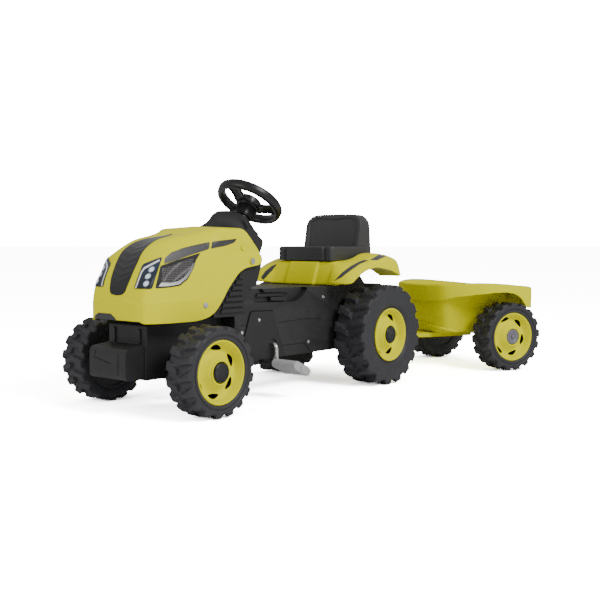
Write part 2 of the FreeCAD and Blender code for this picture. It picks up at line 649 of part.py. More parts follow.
for side, sign in (("left", "1"), ("right", "-1")):
    pin_y = f"{sign} * kingpin_spread"
    tie_x = "wheelbase - tie_rod_setback"
    cut(f"{side}_steering_knuckle",
        fuse(f"{side}_knuckle_solid",
            block(f"{side}_knuckle_block", ("wheelbase - 14", f"{pin_y} - 14", "84"),
                  ("wheelbase + 14", f"{pin_y} + 14", "116")),
            block(f"{side}_knuckle_arm", (f"{tie_x} - 9", f"{pin_y} - 9", "84"),
                  ("wheelbase", f"{pin_y} + 9", "92"))),
        bar(f"{side}_arm_hole", "4 + running_gap", (tie_x, pin_y, 80), 20),
        bar(f"{side}_kingpin_seat", "rod_radius", ("wheelbase", pin_y, 80), 40))
    bar(f"{side}_kingpin", "rod_radius", ("wheelbase", pin_y, 73), 54)
    bar(f"{side}_stub_axle", "axle_radius",
        ("wheelbase", f"{pin_y} + 14" if sign == "1" else "-(tractor_half_width - 6)", "front_tyre_radius"),
        "tractor_half_width - 6 - kingpin_spread - 14", "y")

cut("tie_rod",
    fuse("tie_rod_solid",
        block("tie_bar", ("wheelbase - tie_rod_setback - 7", "-kingpin_spread - 9", "76"),
              ("wheelbase - tie_rod_setback + 7", "kingpin_spread + 9", "82")),
        block("tie_plate", ("wheelbase - tie_rod_setback - 19", "-18", "76"),
              ("wheelbase - tie_rod_setback + 32", "18", "82")),
        *(bar(f"tie_pin_{i}", 4, ("wheelbase - tie_rod_setback", y, 76), 20)
          for i, y in enumerate(("kingpin_spread", "-kingpin_spread")))),
    block("tie_slot", ("wheelbase - tie_rod_setback - 11.5", "-rod_radius - 1.6", "70"),
          ("wheelbase - tie_rod_setback + 24.5", "rod_radius + 1.6", "90")))

# ---------------------------------------------------------------- pedal drive
crank_centre = Vector(value("crank_x"), 0, value("crank_z"))
throw, spread = value("crank_throw"), value("crank_spread")
spindle_end = spread + 86
CRANK_LINE = [
    (spindle_end, -throw), (spread, -throw), (spread, 0), (-spread, 0), (-spread, throw),
    (-spindle_end, throw)]
bent_rod("pedal_crank", [crank_centre + Vector(0, y, z) for y, z in CRANK_LINE], value("rod_radius"), 12)
for side, start, level in (("left", "crank_spread + 12", "crank_z - crank_throw"),
                           ("right", "-crank_spread - 84", "crank_z + crank_throw")):
    cut(f"{side}_pedal",
        prism(f"{side}_pedal_solid", "XZ", [
            (f"crank_x {across:+d}", f"({level}) {up:+d}") for across, up in (
                (-30, -6), (-22, -13), (22, -13), (30, -6), (30, 6), (22, 13), (-22, 13), (-30, 6))],
            start, f"{start} + 72"),
        side_holes(f"{side}_pedal_bore", "rod_radius + running_gap", "crank_x", level))


def pitch_radius(teeth):
    return value("chain_pitch") / (2 * math.sin(math.pi / teeth))


def sprocket(label, teeth, x, z):
    """A toothed disc on a shaft along Y, in the chain's plane."""
    root, tip = pitch_radius(teeth) - 3.5, pitch_radius(teeth) + 3
    corners = []
    for tooth in range(teeth):
        for share, radius in ((-0.32, root), (-0.12, tip), (0.12, tip), (0.32, root)):
            angle = 2 * math.pi * (tooth + share) / teeth
            corners.append(Vector(x + radius * math.cos(angle), value("chain_plane") - 1.5,
                                  z + radius * math.sin(angle)))
    outline = Part.Face(Part.makePolygon(corners + corners[:1]))
    disc = outline.extrude(Vector(0, 3, 0))
    across = Vector(0, 1, 0)
    collar = Part.makeCylinder(13, 16, Vector(x, value("chain_plane") - 8, z), across)
    shaft = Part.makeCylinder(value("rod_radius"), 40, Vector(x, value("chain_plane") - 20, z), across)
    item = doc.addObject("Part::Feature", label)
    item.Shape = disc.fuse(collar).cut(shaft)
    return item


def loop_face(offset, level):
    """A flat face bounded by the chain's loop, moved outwards from the pitch line."""
    big, small = pitch_radius(value("crank_teeth")) + offset, pitch_radius(value("axle_teeth")) + offset
    front = Vector(value("crank_x"), level, value("crank_z"))
    rear = Vector(0, level, value("rear_tyre_radius"))
    span = front - rear
    lean = math.atan2(span.z, span.x)
    spread_angle = math.acos((big - small) / span.Length)

    def rim_point(centre, radius, angle):
        return centre + Vector(radius * math.cos(angle), 0, radius * math.sin(angle))

    upper, lower = lean + spread_angle, lean - spread_angle
    front_top, front_low = rim_point(front, big, upper), rim_point(front, big, lower)
    rear_top, rear_low = rim_point(rear, small, upper), rim_point(rear, small, lower)
    return Part.Face(Part.Wire([
        Part.LineSegment(rear_top, front_top).toShape(),
        Part.Arc(front_top, rim_point(front, big, lean), front_low).toShape(),
        Part.LineSegment(front_low, rear_low).toShape(),
        Part.Arc(rear_low, rim_point(rear, small, lean + math.pi), rear_top).toShape()]))


def loop_solid(offset, start, width):
    return loop_face(offset, value("chain_plane") + start).extrude(Vector(0, width, 0))


sprocket("crank_sprocket", int(value("crank_teeth")), value("crank_x"), value("crank_z"))
sprocket("axle_sprocket", int(value("axle_teeth")), 0, value("rear_tyre_radius"))
chain = doc.addObject("Part::Feature", "drive_chain")
chain.Shape = loop_solid(5.5, -4, 8).cut(loop_solid(-4, -5, 10)).cut(loop_solid(3.9, -2.3, 4.6))

bar("rear_axle", "axle_radius", (0, "-(tractor_half_width - 6)", "rear_tyre_radius"),
    "2 * (tractor_half_width - 6)", "y")


def side_bushes(label, x, z):
    """Two flanged bushes, one in each chassis wall."""
    pair = []
    for side, sign in (("left", 1), ("right", -1)):
        start = value("chassis_half_width") - 12 if sign > 0 else -value("chassis_half_width")
        flange = value("chassis_half_width") - 12 if sign > 0 else -value("chassis_half_width") + 9
        pair.append(cut(f"{label}_{side}",
            fuse(f"{label}_{side}_solid",
                bar(f"{label}_{side}_tube", 12, (x, start, z), 12, "y"),
                bar(f"{label}_{side}_flange", 17, (x, flange, z), 3, "y")),
            bar(f"{label}_{side}_bore", "rod_radius + running_gap", (x, start - 5, z), 22, "y")))
    return pair


group("axle_bushes", *side_bushes("crank_bush", "crank_x", "crank_z"),
      *side_bushes("rear_axle_bush", 0, "rear_tyre_radius"))

# ---------------------------------------------------------------- hitch and trailer
cut("hitch_bracket",
    fuse("hitch_solid",
        block("hitch_web", ("-125", "-22", "84"), ("-110", "22", "160")),
        block("hitch_upper", ("hitch_x - 18", "-18", "tongue_top + 0.5"), ("-112", "18", "tongue_top + 7")),
        block("hitch_lower", ("hitch_x - 18", "-18", "84"), ("-112", "18", "tongue_bottom - 0.5"))),
    bar("hitch_hole", "rod_radius + running_gap", ("hitch_x", 0, 70), 60))
fuse("hitch_pin",
    bar("pin_shank", "rod_radius", ("hitch_x", 0, 78), 60),
    bar("pin_collar", 10, ("hitch_x", 0, "tongue_top + 7.3"), 5),
    bar("pin_knob", 13, ("hitch_x", 0, 134), 12))


def place_on_trailer(item):
    """Turn a trailer sub-part about the hitch pin."""
    return put(item, ("hitch_x", "0", "0"), "trailer_yaw")


def tub_section(name, level, front, rear, half, inset):
    """One horizontal section of the tub, with cut corners."""
    x1, x2, w = -front - inset, -rear + inset, half - inset
    points = [(x1 - 22, -w), (x1, -w + 34), (x1, w - 34), (x1 - 22, w), (x2 + 20, w), (x2, w - 24),
              (x2, -w + 24), (x2 + 20, -w)]
    return fill_outline(free_sketch(name, "XY", level), [(str(a), str(b)) for a, b in points])


tub_form = loft("tub_form", [
    tub_section("tub_low", "tub_bottom", 222, 470, 96, 0),
    tub_section("tub_middle", 200, 200, 492, 120, 0), tub_section("tub_high", 248, 192, 500, 124, 0)])
tub_hollow = loft("tub_hollow", [
    tub_section("tub_low_in", "tub_bottom + skin", 222, 470, 96, 4),
    tub_section("tub_middle_in", 204, 200, 492, 120, 4), tub_section("tub_high_in", 300, 184, 508, 128, 4)])
RIM_PLAN = [
    ("-184", "0"), ("-188", "60"), ("-202", "116"), ("-245", "158"), ("-300", "trailer_half_width - 6"),
    ("-335", "trailer_half_width"), ("-500", "trailer_half_width"), ("-508", "150"), ("-502", "110")]
RIM_PLAN_INNER = [
    ("-188", "0"), ("-192", "58"), ("-205", "112"), ("-247", "153"), ("-302", "trailer_half_width - 10"),
    ("-335", "trailer_half_width - 4"), ("-520", "trailer_half_width - 4"), ("-520", "110")]
RIM_SIDE = [
    ("-180", "196"), ("-180", "251"), ("-260", "255"), ("-330", "257"), ("-440", "250"), ("-512", "243"),
    ("-520", "183"), ("-492", "183"), ("-474", "216"), ("-430", "231"), ("-380", "230"), ("-300", "212")]
RIM_SIDE_VOID = [
    ("-180", "180"), ("-180", "247"), ("-260", "251"), ("-330", "253"), ("-440", "246"), ("-508", "239"),
    ("-516", "170")]


def both_sides(half):
    """A plan outline from its left half."""
    return half + [(a, f"-({b})") for a, b in reversed(half) if b != "0"]


rim_band = common("rim_band", prism("rim_plan", "XY", both_sides(RIM_PLAN), 150, 300),
                  slab("rim_side", "XZ", RIM_SIDE, 230))
rim_void = common("rim_void", prism("rim_plan_inner", "XY", both_sides(RIM_PLAN_INNER), 150, 300),
                  slab("rim_side_void", "XZ", RIM_SIDE_VOID, 230))
place_on_trailer(cut("trailer_tub",
    fuse("tub_with_rim", cut("rim_shell", rim_band, rim_void), tub_form), tub_hollow))

tongue = prism("tongue_plan", "XY", both_sides([
    ("16", "7"), ("7", "16"), ("-120", "18"), ("-215", "40"), ("-360", "52")]), "tongue_bottom", "tongue_top")
place_on_trailer(cut("trailer_drawbar",
    fuse("drawbar_solid", tongue,
        block("drawbar_pad", ("-360", "-50", "tongue_top - 1"), ("-240", "50", "tub_bottom"))),
    bar("tongue_hole", "rod_radius + running_gap", (0, 0, 80), 40)))
place_on_trailer(group("trailer_axle_brackets", *(
    cut(f"axle_bracket_{side}",
        block(f"bracket_{side}", ("-trailer_axle_back - 14", y, "88"),
              ("-trailer_axle_back + 14", f"{y} + 22", "tub_bottom")),
        side_holes(f"bracket_bore_{side}", "axle_radius", "-trailer_axle_back", "front_tyre_radius"))
    for side, y in (("left", "70"), ("right", "-92")))))
trailer_rod = bar("trailer_rod", "axle_radius",
    ("-trailer_axle_back", "-(trailer_half_width - 6)", "front_tyre_radius"),
    "2 * (trailer_half_width - 6)", "y")
place_on_trailer(group("trailer_axle", trailer_rod))

# ---------------------------------------------------------------- check and write
SUB_PARTS = [
    "chassis_shell", "nose_frame", "front_weight", "engine_block", "dash_cowl", "left_crank_cover",
    "right_crank_cover", "engine_side_panels", "chassis_screws", "fender_deck", "seat_shell", "bonnet_shell",
    "grille_panel", "headlight_lenses", "side_vents", "bonnet_hinge_screws", "steering_wheel", "horn_button",
    "steering_column", "column_bushes", "front_axle_beam", "tie_rod", "pedal_crank", "crank_sprocket",
    "axle_sprocket", "drive_chain", "rear_axle", "axle_bushes", "hitch_bracket",
    "hitch_pin", "trailer_tub", "trailer_drawbar", "trailer_axle_brackets", "trailer_axle",
] + [f"{side}_{piece}" for side in ("left", "right")
     for piece in ("steering_knuckle", "kingpin", "stub_axle", "pedal")] + [
    f"{side}_{axle}_{piece}" for side in ("left", "right") for axle in ("front", "rear", "trailer")
    for piece in ("tyre", "rim", "cap")]

doc.recompute()
for item in doc.Objects:
    if "Invalid" in item.State or "Error" in item.State:
        raise RuntimeError(f"{item.Name} did not recompute: {item.State}")
os.makedirs("parts", exist_ok=True)
for name in SUB_PARTS:
    sub_part = doc.getObject(name)
    sub_part.Label = name
    if sub_part.Shape.isNull() or not sub_part.Shape.isValid() or not sub_part.Shape.Solids:
        raise RuntimeError(f"{name} has no valid shape")
    sub_part.Shape.exportStep(f"parts/{name}.step")
    print(f"{name}: {len(sub_part.Shape.Solids)} solid(s), {sub_part.Shape.Volume / 1000:.1f} cm3")
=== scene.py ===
import json
import math
import bmesh
import bpy
from mathutils import Matrix, Vector
from mathutils.bvhtree import BVHTree
from mathutils.geometry import delaunay_2d_cdt

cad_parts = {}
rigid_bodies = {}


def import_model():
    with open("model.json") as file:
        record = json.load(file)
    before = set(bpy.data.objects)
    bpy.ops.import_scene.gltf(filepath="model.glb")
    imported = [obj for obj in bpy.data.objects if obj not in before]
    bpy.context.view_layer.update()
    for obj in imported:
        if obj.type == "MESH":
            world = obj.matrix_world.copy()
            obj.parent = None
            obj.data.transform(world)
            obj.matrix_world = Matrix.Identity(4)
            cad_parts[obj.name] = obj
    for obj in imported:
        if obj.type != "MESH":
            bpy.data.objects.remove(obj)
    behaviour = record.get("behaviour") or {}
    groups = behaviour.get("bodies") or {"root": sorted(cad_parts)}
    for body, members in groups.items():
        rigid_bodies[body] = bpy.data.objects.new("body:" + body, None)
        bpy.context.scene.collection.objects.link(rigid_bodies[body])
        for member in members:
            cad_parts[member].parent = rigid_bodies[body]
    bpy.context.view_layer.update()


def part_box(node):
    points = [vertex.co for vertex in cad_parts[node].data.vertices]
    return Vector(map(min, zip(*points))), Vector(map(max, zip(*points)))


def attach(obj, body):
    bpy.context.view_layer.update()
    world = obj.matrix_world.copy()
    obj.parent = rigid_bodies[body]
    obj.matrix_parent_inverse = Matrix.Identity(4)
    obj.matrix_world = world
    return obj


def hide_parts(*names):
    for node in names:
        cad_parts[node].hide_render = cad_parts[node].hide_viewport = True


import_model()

# A child's pedal tractor with a two-wheeled trailer. Outlines are in millimetres in the frame's own axes:
# +X to the nose, +Y to the driver's left, +Z up, with the origin on the ground under the rear axle.
MM = 0.001


# ---------------------------------------------------------------- materials
def shade_tree(name):
    """An empty material with a principled shader, and a function that adds nodes."""
    material = bpy.data.materials.new(name)
    material.use_nodes = True
    tree = material.node_tree
    shader = tree.nodes["Principled BSDF"]

    def add(kind, **inputs):
        node = tree.nodes.new(kind)
        for key, value in inputs.items():
            node.inputs[key.replace("_", " ")].default_value = value
        return node

    return material, tree, shader, add


def moulded(name, colour, roughness, grain=900.0, bump=0.05, mottle=0.05, wear=0.12, sheen=0.5, metal=0.0,
            stretch=(1, 1, 1)):
    """Moulded or rolled surface: mottled tone, uneven gloss, fine grain, and paler worn edges."""
    material, tree, shader, add = shade_tree(name)
    link = tree.links.new
    place = add("ShaderNodeTexCoord")
    scaled = add("ShaderNodeMapping", Scale=stretch)
    link(place.outputs["Object"], scaled.inputs["Vector"])
    cloud = add("ShaderNodeTexNoise", Scale=9.0, Detail=4.0, Roughness=0.6)
    smear = add("ShaderNodeTexNoise", Scale=42.0, Detail=5.0, Roughness=0.65)
    fine = add("ShaderNodeTexNoise", Scale=grain, Detail=3.0, Roughness=0.55)
    for noise in (cloud, smear, fine):
        link(scaled.outputs["Vector"], noise.inputs["Vector"])
    tone = add("ShaderNodeMixRGB")
    tone.inputs["Color1"].default_value = (*[c * (1 - mottle) for c in colour], 1)
    tone.inputs["Color2"].default_value = (*[min(c * (1 + mottle), 1) for c in colour], 1)
    link(cloud.outputs["Fac"], tone.inputs["Fac"])
    geometry = add("ShaderNodeNewGeometry")
    edge = add("ShaderNodeMapRange", From_Min=0.53, From_Max=0.62, To_Min=0.0, To_Max=wear)
    link(geometry.outputs["Pointiness"], edge.inputs["Value"])
    rubbed = add("ShaderNodeMath")
    rubbed.operation = "MULTIPLY"
    link(edge.outputs["Result"], rubbed.inputs[0])
    link(smear.outputs["Fac"], rubbed.inputs[1])
    worn = add("ShaderNodeMixRGB")
    worn.inputs["Color2"].default_value = (*[min(c * 1.5 + 0.10, 1) for c in colour], 1)
    link(rubbed.outputs["Value"], worn.inputs["Fac"])
    link(tone.outputs["Color"], worn.inputs["Color1"])
    link(worn.outputs["Color"], shader.inputs["Base Color"])
    gloss = add("ShaderNodeMapRange", From_Min=0.3, From_Max=0.7,
                To_Min=roughness * 0.86, To_Max=min(roughness * 1.16, 1))
    link(smear.outputs["Fac"], gloss.inputs["Value"])
    link(gloss.outputs["Result"], shader.inputs["Roughness"])
    relief = add("ShaderNodeBump", Strength=bump, Distance=0.0006)
    link(fine.outputs["Fac"], relief.inputs["Height"])
    link(relief.outputs["Normal"], shader.inputs["Normal"])
    shader.inputs["Metallic"].default_value = metal
    shader.inputs["Specular IOR Level"].default_value = sheen
    return material


def honeycomb(name):
    """Dark perforated sticker: a fine mesh of hexagon-like cells."""
    material, tree, shader, add = shade_tree(name)
    link = tree.links.new
    place = add("ShaderNodeTexCoord")
    cells = add("ShaderNodeTexVoronoi", Scale=260.0, Randomness=0.12)
    cells.feature = "DISTANCE_TO_EDGE"
    link(place.outputs["Object"], cells.inputs["Vector"])
    ramp = add("ShaderNodeValToRGB")
    ramp.color_ramp.elements[0].position = 0.06
    ramp.color_ramp.elements[0].color = (0.16, 0.15, 0.15, 1)
    ramp.color_ramp.elements[1].position = 0.16
    ramp.color_ramp.elements[1].color = (0.006, 0.006, 0.008, 1)
    link(cells.outputs["Distance"], ramp.inputs["Fac"])
    link(ramp.outputs["Color"], shader.inputs["Base Color"])
    relief = add("ShaderNodeBump", Strength=0.3, Distance=0.0005)
    relief.invert = True
    link(ramp.outputs["Color"], relief.inputs["Height"])
    link(relief.outputs["Normal"], shader.inputs["Normal"])
    shader.inputs["Roughness"].default_value = 0.32
    return material


def painted_light_sticker(name, dark, pale, low, high, axis="X", roughness=0.28, metal=0.0):
    """Printed sticker with painted light: its tone runs from dark (painted shade) to pale (painted light)
    along one axis, between two positions in metres.
    """
    material, tree, shader, add = shade_tree(name)
    link = tree.links.new
    place = add("ShaderNodeTexCoord")
    split = add("ShaderNodeSeparateXYZ")
    link(place.outputs["Object"], split.inputs["Vector"])
    share = add("ShaderNodeMapRange", From_Min=low, From_Max=high)
    link(split.outputs[axis], share.inputs["Value"])
    speck = add("ShaderNodeTexNoise", Scale=120.0, Detail=3.0)
    link(place.outputs["Object"], speck.inputs["Vector"])
    # painted light: the tone mixes from painted shade at the low end to painted light at the high end
    tint = add("ShaderNodeMixRGB")
    tint.inputs["Color1"].default_value = (*dark, 1)
    tint.inputs["Color2"].default_value = (*pale, 1)
    link(share.outputs["Result"], tint.inputs["Fac"])
    link(tint.outputs["Color"], shader.inputs["Base Color"])
    gloss = add("ShaderNodeMapRange", To_Min=roughness * 0.8, To_Max=roughness * 1.25)
    link(speck.outputs["Fac"], gloss.inputs["Value"])
    link(gloss.outputs["Result"], shader.inputs["Roughness"])
    shader.inputs["Metallic"].default_value = metal
    return material


LIME = moulded("lime_plastic", (0.80, 0.76, 0.0), 0.36, grain=700, bump=0.03, mottle=0.03, wear=0.05,
               sheen=0.04)
LIME_TUB = moulded("lime_tub_plastic", (0.76, 0.73, 0.0), 0.42, grain=600, bump=0.05, mottle=0.04,
                   wear=0.05, sheen=0.04)
CHARCOAL = moulded("charcoal_plastic", (0.019, 0.018, 0.019), 0.50, grain=1100, bump=0.12, mottle=0.10,
                   wear=0.18, sheen=0.35)
SEAT_GREY = moulded("seat_plastic", (0.040, 0.039, 0.042), 0.46, grain=1000, bump=0.12, mottle=0.08,
                    wear=0.15, sheen=0.4)
BLACK = moulded("black_plastic", (0.007, 0.007, 0.008), 0.34, grain=1000, bump=0.05, mottle=0.15, wear=0.12,
                sheen=0.45)
TYRE = moulded("tyre_plastic", (0.030, 0.030, 0.035), 0.56, grain=800, bump=0.18, mottle=0.12, wear=0.30,
               sheen=0.4)
GREY = moulded("grey_plastic", (0.42, 0.42, 0.43), 0.48, grain=900, bump=0.10, mottle=0.06, wear=0.20)
CAP_GREY = moulded("cap_grey_plastic", (0.16, 0.15, 0.18), 0.42, grain=900, bump=0.08, mottle=0.08,
                   wear=0.25)
STEEL = moulded("steel", (0.62, 0.61, 0.60), 0.26, grain=500, bump=0.04, mottle=0.05, wear=0.3, metal=1.0,
                stretch=(1, 6, 1))
# Each sticker below is darker low and paler high along Z, or darker to the rear and paler to the front along
# X: painted shade and painted light. On the silver bevel the pale end is a painted reflection.
STICKER = painted_light_sticker("sticker_dark", (0.004, 0.004, 0.005), (0.035, 0.035, 0.038), 0.26, 0.40, "Z")
RIB = painted_light_sticker("sticker_rib", (0.018, 0.018, 0.02), (0.05, 0.05, 0.053), 0.30, 0.40, "Z")
SWOOSH = painted_light_sticker("sticker_swoosh", (0.012, 0.012, 0.014), (0.15, 0.145, 0.145), 0.46, 0.72)
STRIPE = painted_light_sticker("sticker_stripe", (0.020, 0.019, 0.022), (0.07, 0.065, 0.07), 0.26, 0.36, "Z")
SILVER = painted_light_sticker("sticker_silver", (0.10, 0.10, 0.11), (0.80, 0.80, 0.80), 0.60, 0.70)
NAVY = painted_light_sticker("sticker_navy", (0.002, 0.003, 0.006), (0.03, 0.05, 0.09), 0.27, 0.37, "Z")
WHITE = painted_light_sticker("sticker_white", (0.75, 0.76, 0.78), (0.88, 0.88, 0.88), 0.27, 0.36, "Z")
VENT = honeycomb("sticker_honeycomb")


def printed_lamp_with_painted_glow():
    """Printed lamp: white in the middle and blue at its rim, with a faint painted glow from emission, as the
    sticker is no lamp.
    """
    material, tree, shader, add = shade_tree("sticker_led")
    link = tree.links.new
    place = add("ShaderNodeTexCoord")
    away = add("ShaderNodeVectorMath")
    away.operation = "LENGTH"
    link(place.outputs["Object"], away.inputs[0])
    ramp = add("ShaderNodeValToRGB")
    stops = ramp.color_ramp.elements
    stops[0].position, stops[0].color = 0.0030, (0.95, 0.98, 1.0, 1)
    stops[1].position, stops[1].color = 0.0085, (0.02, 0.05, 0.10, 1)
    middle = stops.new(0.0052)
    middle.color = (0.42, 0.62, 0.80, 1)
    link(away.outputs["Value"], ramp.inputs["Fac"])
    link(ramp.outputs["Color"], shader.inputs["Base Color"])
    # painted light: the printed lamp glows through emission
    link(ramp.outputs["Color"], shader.inputs["Emission Color"])
    shader.inputs["Emission Strength"].default_value = 0.25
    shader.inputs["Roughness"].default_value = 0.2
    return material


LAMP_PRINT_GLOW = printed_lamp_with_painted_glow()


# ---------------------------------------------------------------- mesh helpers
def curve_through(points, per=8, closed=False):
    """Points along a smooth line through the given ones."""
    count = len(points)
    vectors = [Vector(p) for p in points]
    made = []
    for i in range(count if closed else count - 1):
        if closed:
            a, b, c, d = (vectors[(i + k) % count] for k in (-1, 0, 1, 2))
        else:
            b, c = vectors[i], vectors[i + 1]
            a = vectors[i - 1] if i else b * 2 - c
            d = vectors[i + 2] if i + 2 < count else c * 2 - b
        for k in range(per):
            t = k / per
            made.append(0.5 * (b * 2 + (c - a) * t + (a * 2 - b * 5 + c * 4 - d) * t * t
                               + (b * 3 - a - c * 3 + d) * t ** 3))
    if not closed:
        made.append(vectors[-1])
    return made


def rounded(points, radius, steps=4, closed=True):
    """A polygon with its corners rounded. radius is one number, or one for each corner."""
    vectors = [Vector(p) for p in points]
    count = len(vectors)
    made = []
    for i, corner in enumerate(vectors):
        size = radius[i] if isinstance(radius, (list, tuple)) else radius
        if (not closed and i in (0, count - 1)) or size <= 0:
            made.append(corner)
            continue
        before, after = vectors[i - 1], vectors[(i + 1) % count]
        reach_in = min(size, (before - corner).length * 0.48)
        reach_out = min(size, (after - corner).length * 0.48)
        start = corner + (before - corner).normalized() * reach_in
        end = corner + (after - corner).normalized() * reach_out
        for k in range(steps + 1):
            t = k / steps
            made.append(start * (1 - t) ** 2 + corner * 2 * t * (1 - t) + end * t * t)
    return made


def ease(value, low, high):
    """0 below low, 1 above high, smooth between."""
    t = min(max((value - low) / (high - low), 0), 1)
    return t * t * (3 - 2 * t)


def along(table, x):
    """Linear reading of a table of (x, value) sorted by rising x."""
    if x <= table[0][0]:
        return table[0][1]
    for (x0, v0), (x1, v1) in zip(table, table[1:]):
        if x <= x1:
            return v0 + (v1 - v0) * (x - x0) / (x1 - x0)
    return table[-1][1]


def mesh_from(name, points, faces, scale=MM):
    """A mesh with shared corners merged and its faces turned outwards."""
    mesh = bpy.data.meshes.new(name)
    mesh.from_pydata([tuple(c * scale for c in p) for p in points], [], faces)
    work = bmesh.new()
    work.from_mesh(mesh)
    bmesh.ops.remove_doubles(work, verts=work.verts, dist=1e-6)
    bmesh.ops.dissolve_degenerate(work, edges=work.edges, dist=1e-7)
    bmesh.ops.recalc_face_normals(work, faces=work.faces)
    work.to_mesh(mesh)
    work.free()
    return mesh


def place_object(name, mesh, material):
    """A new object with one material, linked to the scene."""
    item = bpy.data.objects.new(name, mesh)
    bpy.context.scene.collection.objects.link(item)
    mesh.materials.clear()
    mesh.materials.append(material)
    return item


def modify(item, kind, **settings):
    """Add a modifier with the given settings."""
    modifier = item.modifiers.new(kind.lower(), kind)
    for key, value in settings.items():
        setattr(modifier, key, value)
    return modifier


def bake(item):
    """Turn the modifiers' result into the object's own mesh."""
    seen = bpy.context.evaluated_depsgraph_get()
    seen.update()
    mesh = bpy.data.meshes.new_from_object(item.evaluated_get(seen))
    item.modifiers.clear()
    item.data = mesh
    return item


def carve(item, *cutters):
    """Take the cutters away from an object, and drop them."""
    for cutter in cutters:
        modify(item, "BOOLEAN", object=cutter, operation="DIFFERENCE", solver="EXACT")
        bake(item)
        bpy.data.objects.remove(cutter)
    return item


def soften(item, width=0.0, segments=3, angle=32, smooth=38):
    """Bevel the hard edges and shade the rest smoothly."""
    if width:
        modify(item, "BEVEL", width=width * MM, segments=segments, limit_method="ANGLE",
               angle_limit=math.radians(angle), use_clamp_overlap=True)
        bake(item)
    item.data.shade_smooth()
    item.data.set_sharp_from_angle(angle=math.radians(smooth))
    modify(item, "WEIGHTED_NORMAL", keep_sharp=True)
    return item


def finish_piece(item, body, slot, *nodes):
    """Fix a piece to its body, and hide the CAD nodes it stands for. The slot argument is not used."""
    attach(item, body)
    if nodes:
        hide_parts(*nodes)
    return item


def once(side, node):
    """The CAD node that the left piece of a pair replaces for both."""
    return [node] if side == "left" else []


def both_ways(levels):
    """Levels from the furthest on one side, through 0, to the furthest on the other."""
    return [-level for level in reversed(levels[1:])] + levels


def sided(sign, near, far):
    """Two distances from the middle plane as a rising range on one side of it."""
    return sorted((sign * near, sign * far))


def grid_faces(rows, columns, wrap_columns=False, wrap_rows=False):
    """Quads of a grid whose points are listed row by row."""
    faces = []
    for i in range(rows if wrap_rows else rows - 1):
        for j in range(columns if wrap_columns else columns - 1):
            a, b = i * columns + j, i * columns + (j + 1) % columns
            c, d = ((i + 1) % rows) * columns + (j + 1) % columns, ((i + 1) % rows) * columns + j
            faces.append((a, b, c, d))
    return faces


AXES = {"x": lambda u, v, w: (w, u, v), "y": lambda u, v, w: (u, w, v), "z": lambda u, v, w: (u, v, w)}


def prism(name, outline, axis, low, high, material):
    """An outline pushed along an axis, as a closed piece. The outline is (y,z), (x,z) or (x,y)."""
    turn = AXES[axis]
    count = len(outline)
    points = [turn(p[0], p[1], level) for level in (low, high) for p in outline]
    faces = [tuple(range(count)), tuple(range(2 * count - 1, count - 1, -1))]
    faces += [(i, (i + 1) % count, count + (i + 1) % count, count + i) for i in range(count)]
    return place_object(name, mesh_from(name, points, faces), material)


def slab(name, outline, low, high, radius=0, steps=3, material=None):
    """An (x, z) outline with rounded corners, pushed from low to high along Y."""
    line = rounded([(x, z, 0) for x, z in outline], radius, steps)
    return prism(name, line, "y", low, high, material or CHARCOAL)


def stack(name, rings, material):
    """A skin over rings of equal length, closed at its ends."""
    count = len(rings[0])
    points = [p for ring in rings for p in ring]
    faces = grid_faces(len(rings), count, wrap_columns=True)
    faces.append(tuple(range(count)))
    faces.append(tuple(range((len(rings) - 1) * count, len(rings) * count)))
    return place_object(name, mesh_from(name, points, faces), material)


def turned(name, section, material, segments=96, closed=False):
    """A section of (radius, distance) turned about Y."""
    rings = []
    for radius, distance in section:
        rings.append([(radius * math.cos(2 * math.pi * k / segments), distance,
                       radius * math.sin(2 * math.pi * k / segments)) for k in range(segments)])
    points = [p for ring in rings for p in ring]
    faces = grid_faces(len(rings), segments, wrap_columns=True, wrap_rows=closed)
    return place_object(name, mesh_from(name, points, faces), material)


def button(name, section, material, spot, sign, segments):
    """A small turned piece set on one side of the object, facing outwards."""
    item = turned(name, section, material, segments=segments)
    item.matrix_world = (Matrix.Translation(Vector(spot) * MM)
                         @ Matrix.Rotation(0 if sign > 0 else math.pi, 4, "Z"))
    item.data.shade_smooth()
    return item


def joined(item, *others):
    """Merge other objects into the first one."""
    work = bmesh.new()
    work.from_mesh(item.data)
    for other in others:
        part = other.data.copy()
        part.transform(other.matrix_world)
        work.from_mesh(part)
        bpy.data.objects.remove(other)
    mesh = item.data
    work.to_mesh(mesh)
    work.free()
    return item


def hull_of(item):
    """A tree of an object's surface for casting rays, in millimetres."""
    mesh = item.data
    return BVHTree.FromPolygons([v.co / MM for v in mesh.vertices],
                                [tuple(p.vertices) for p in mesh.polygons])


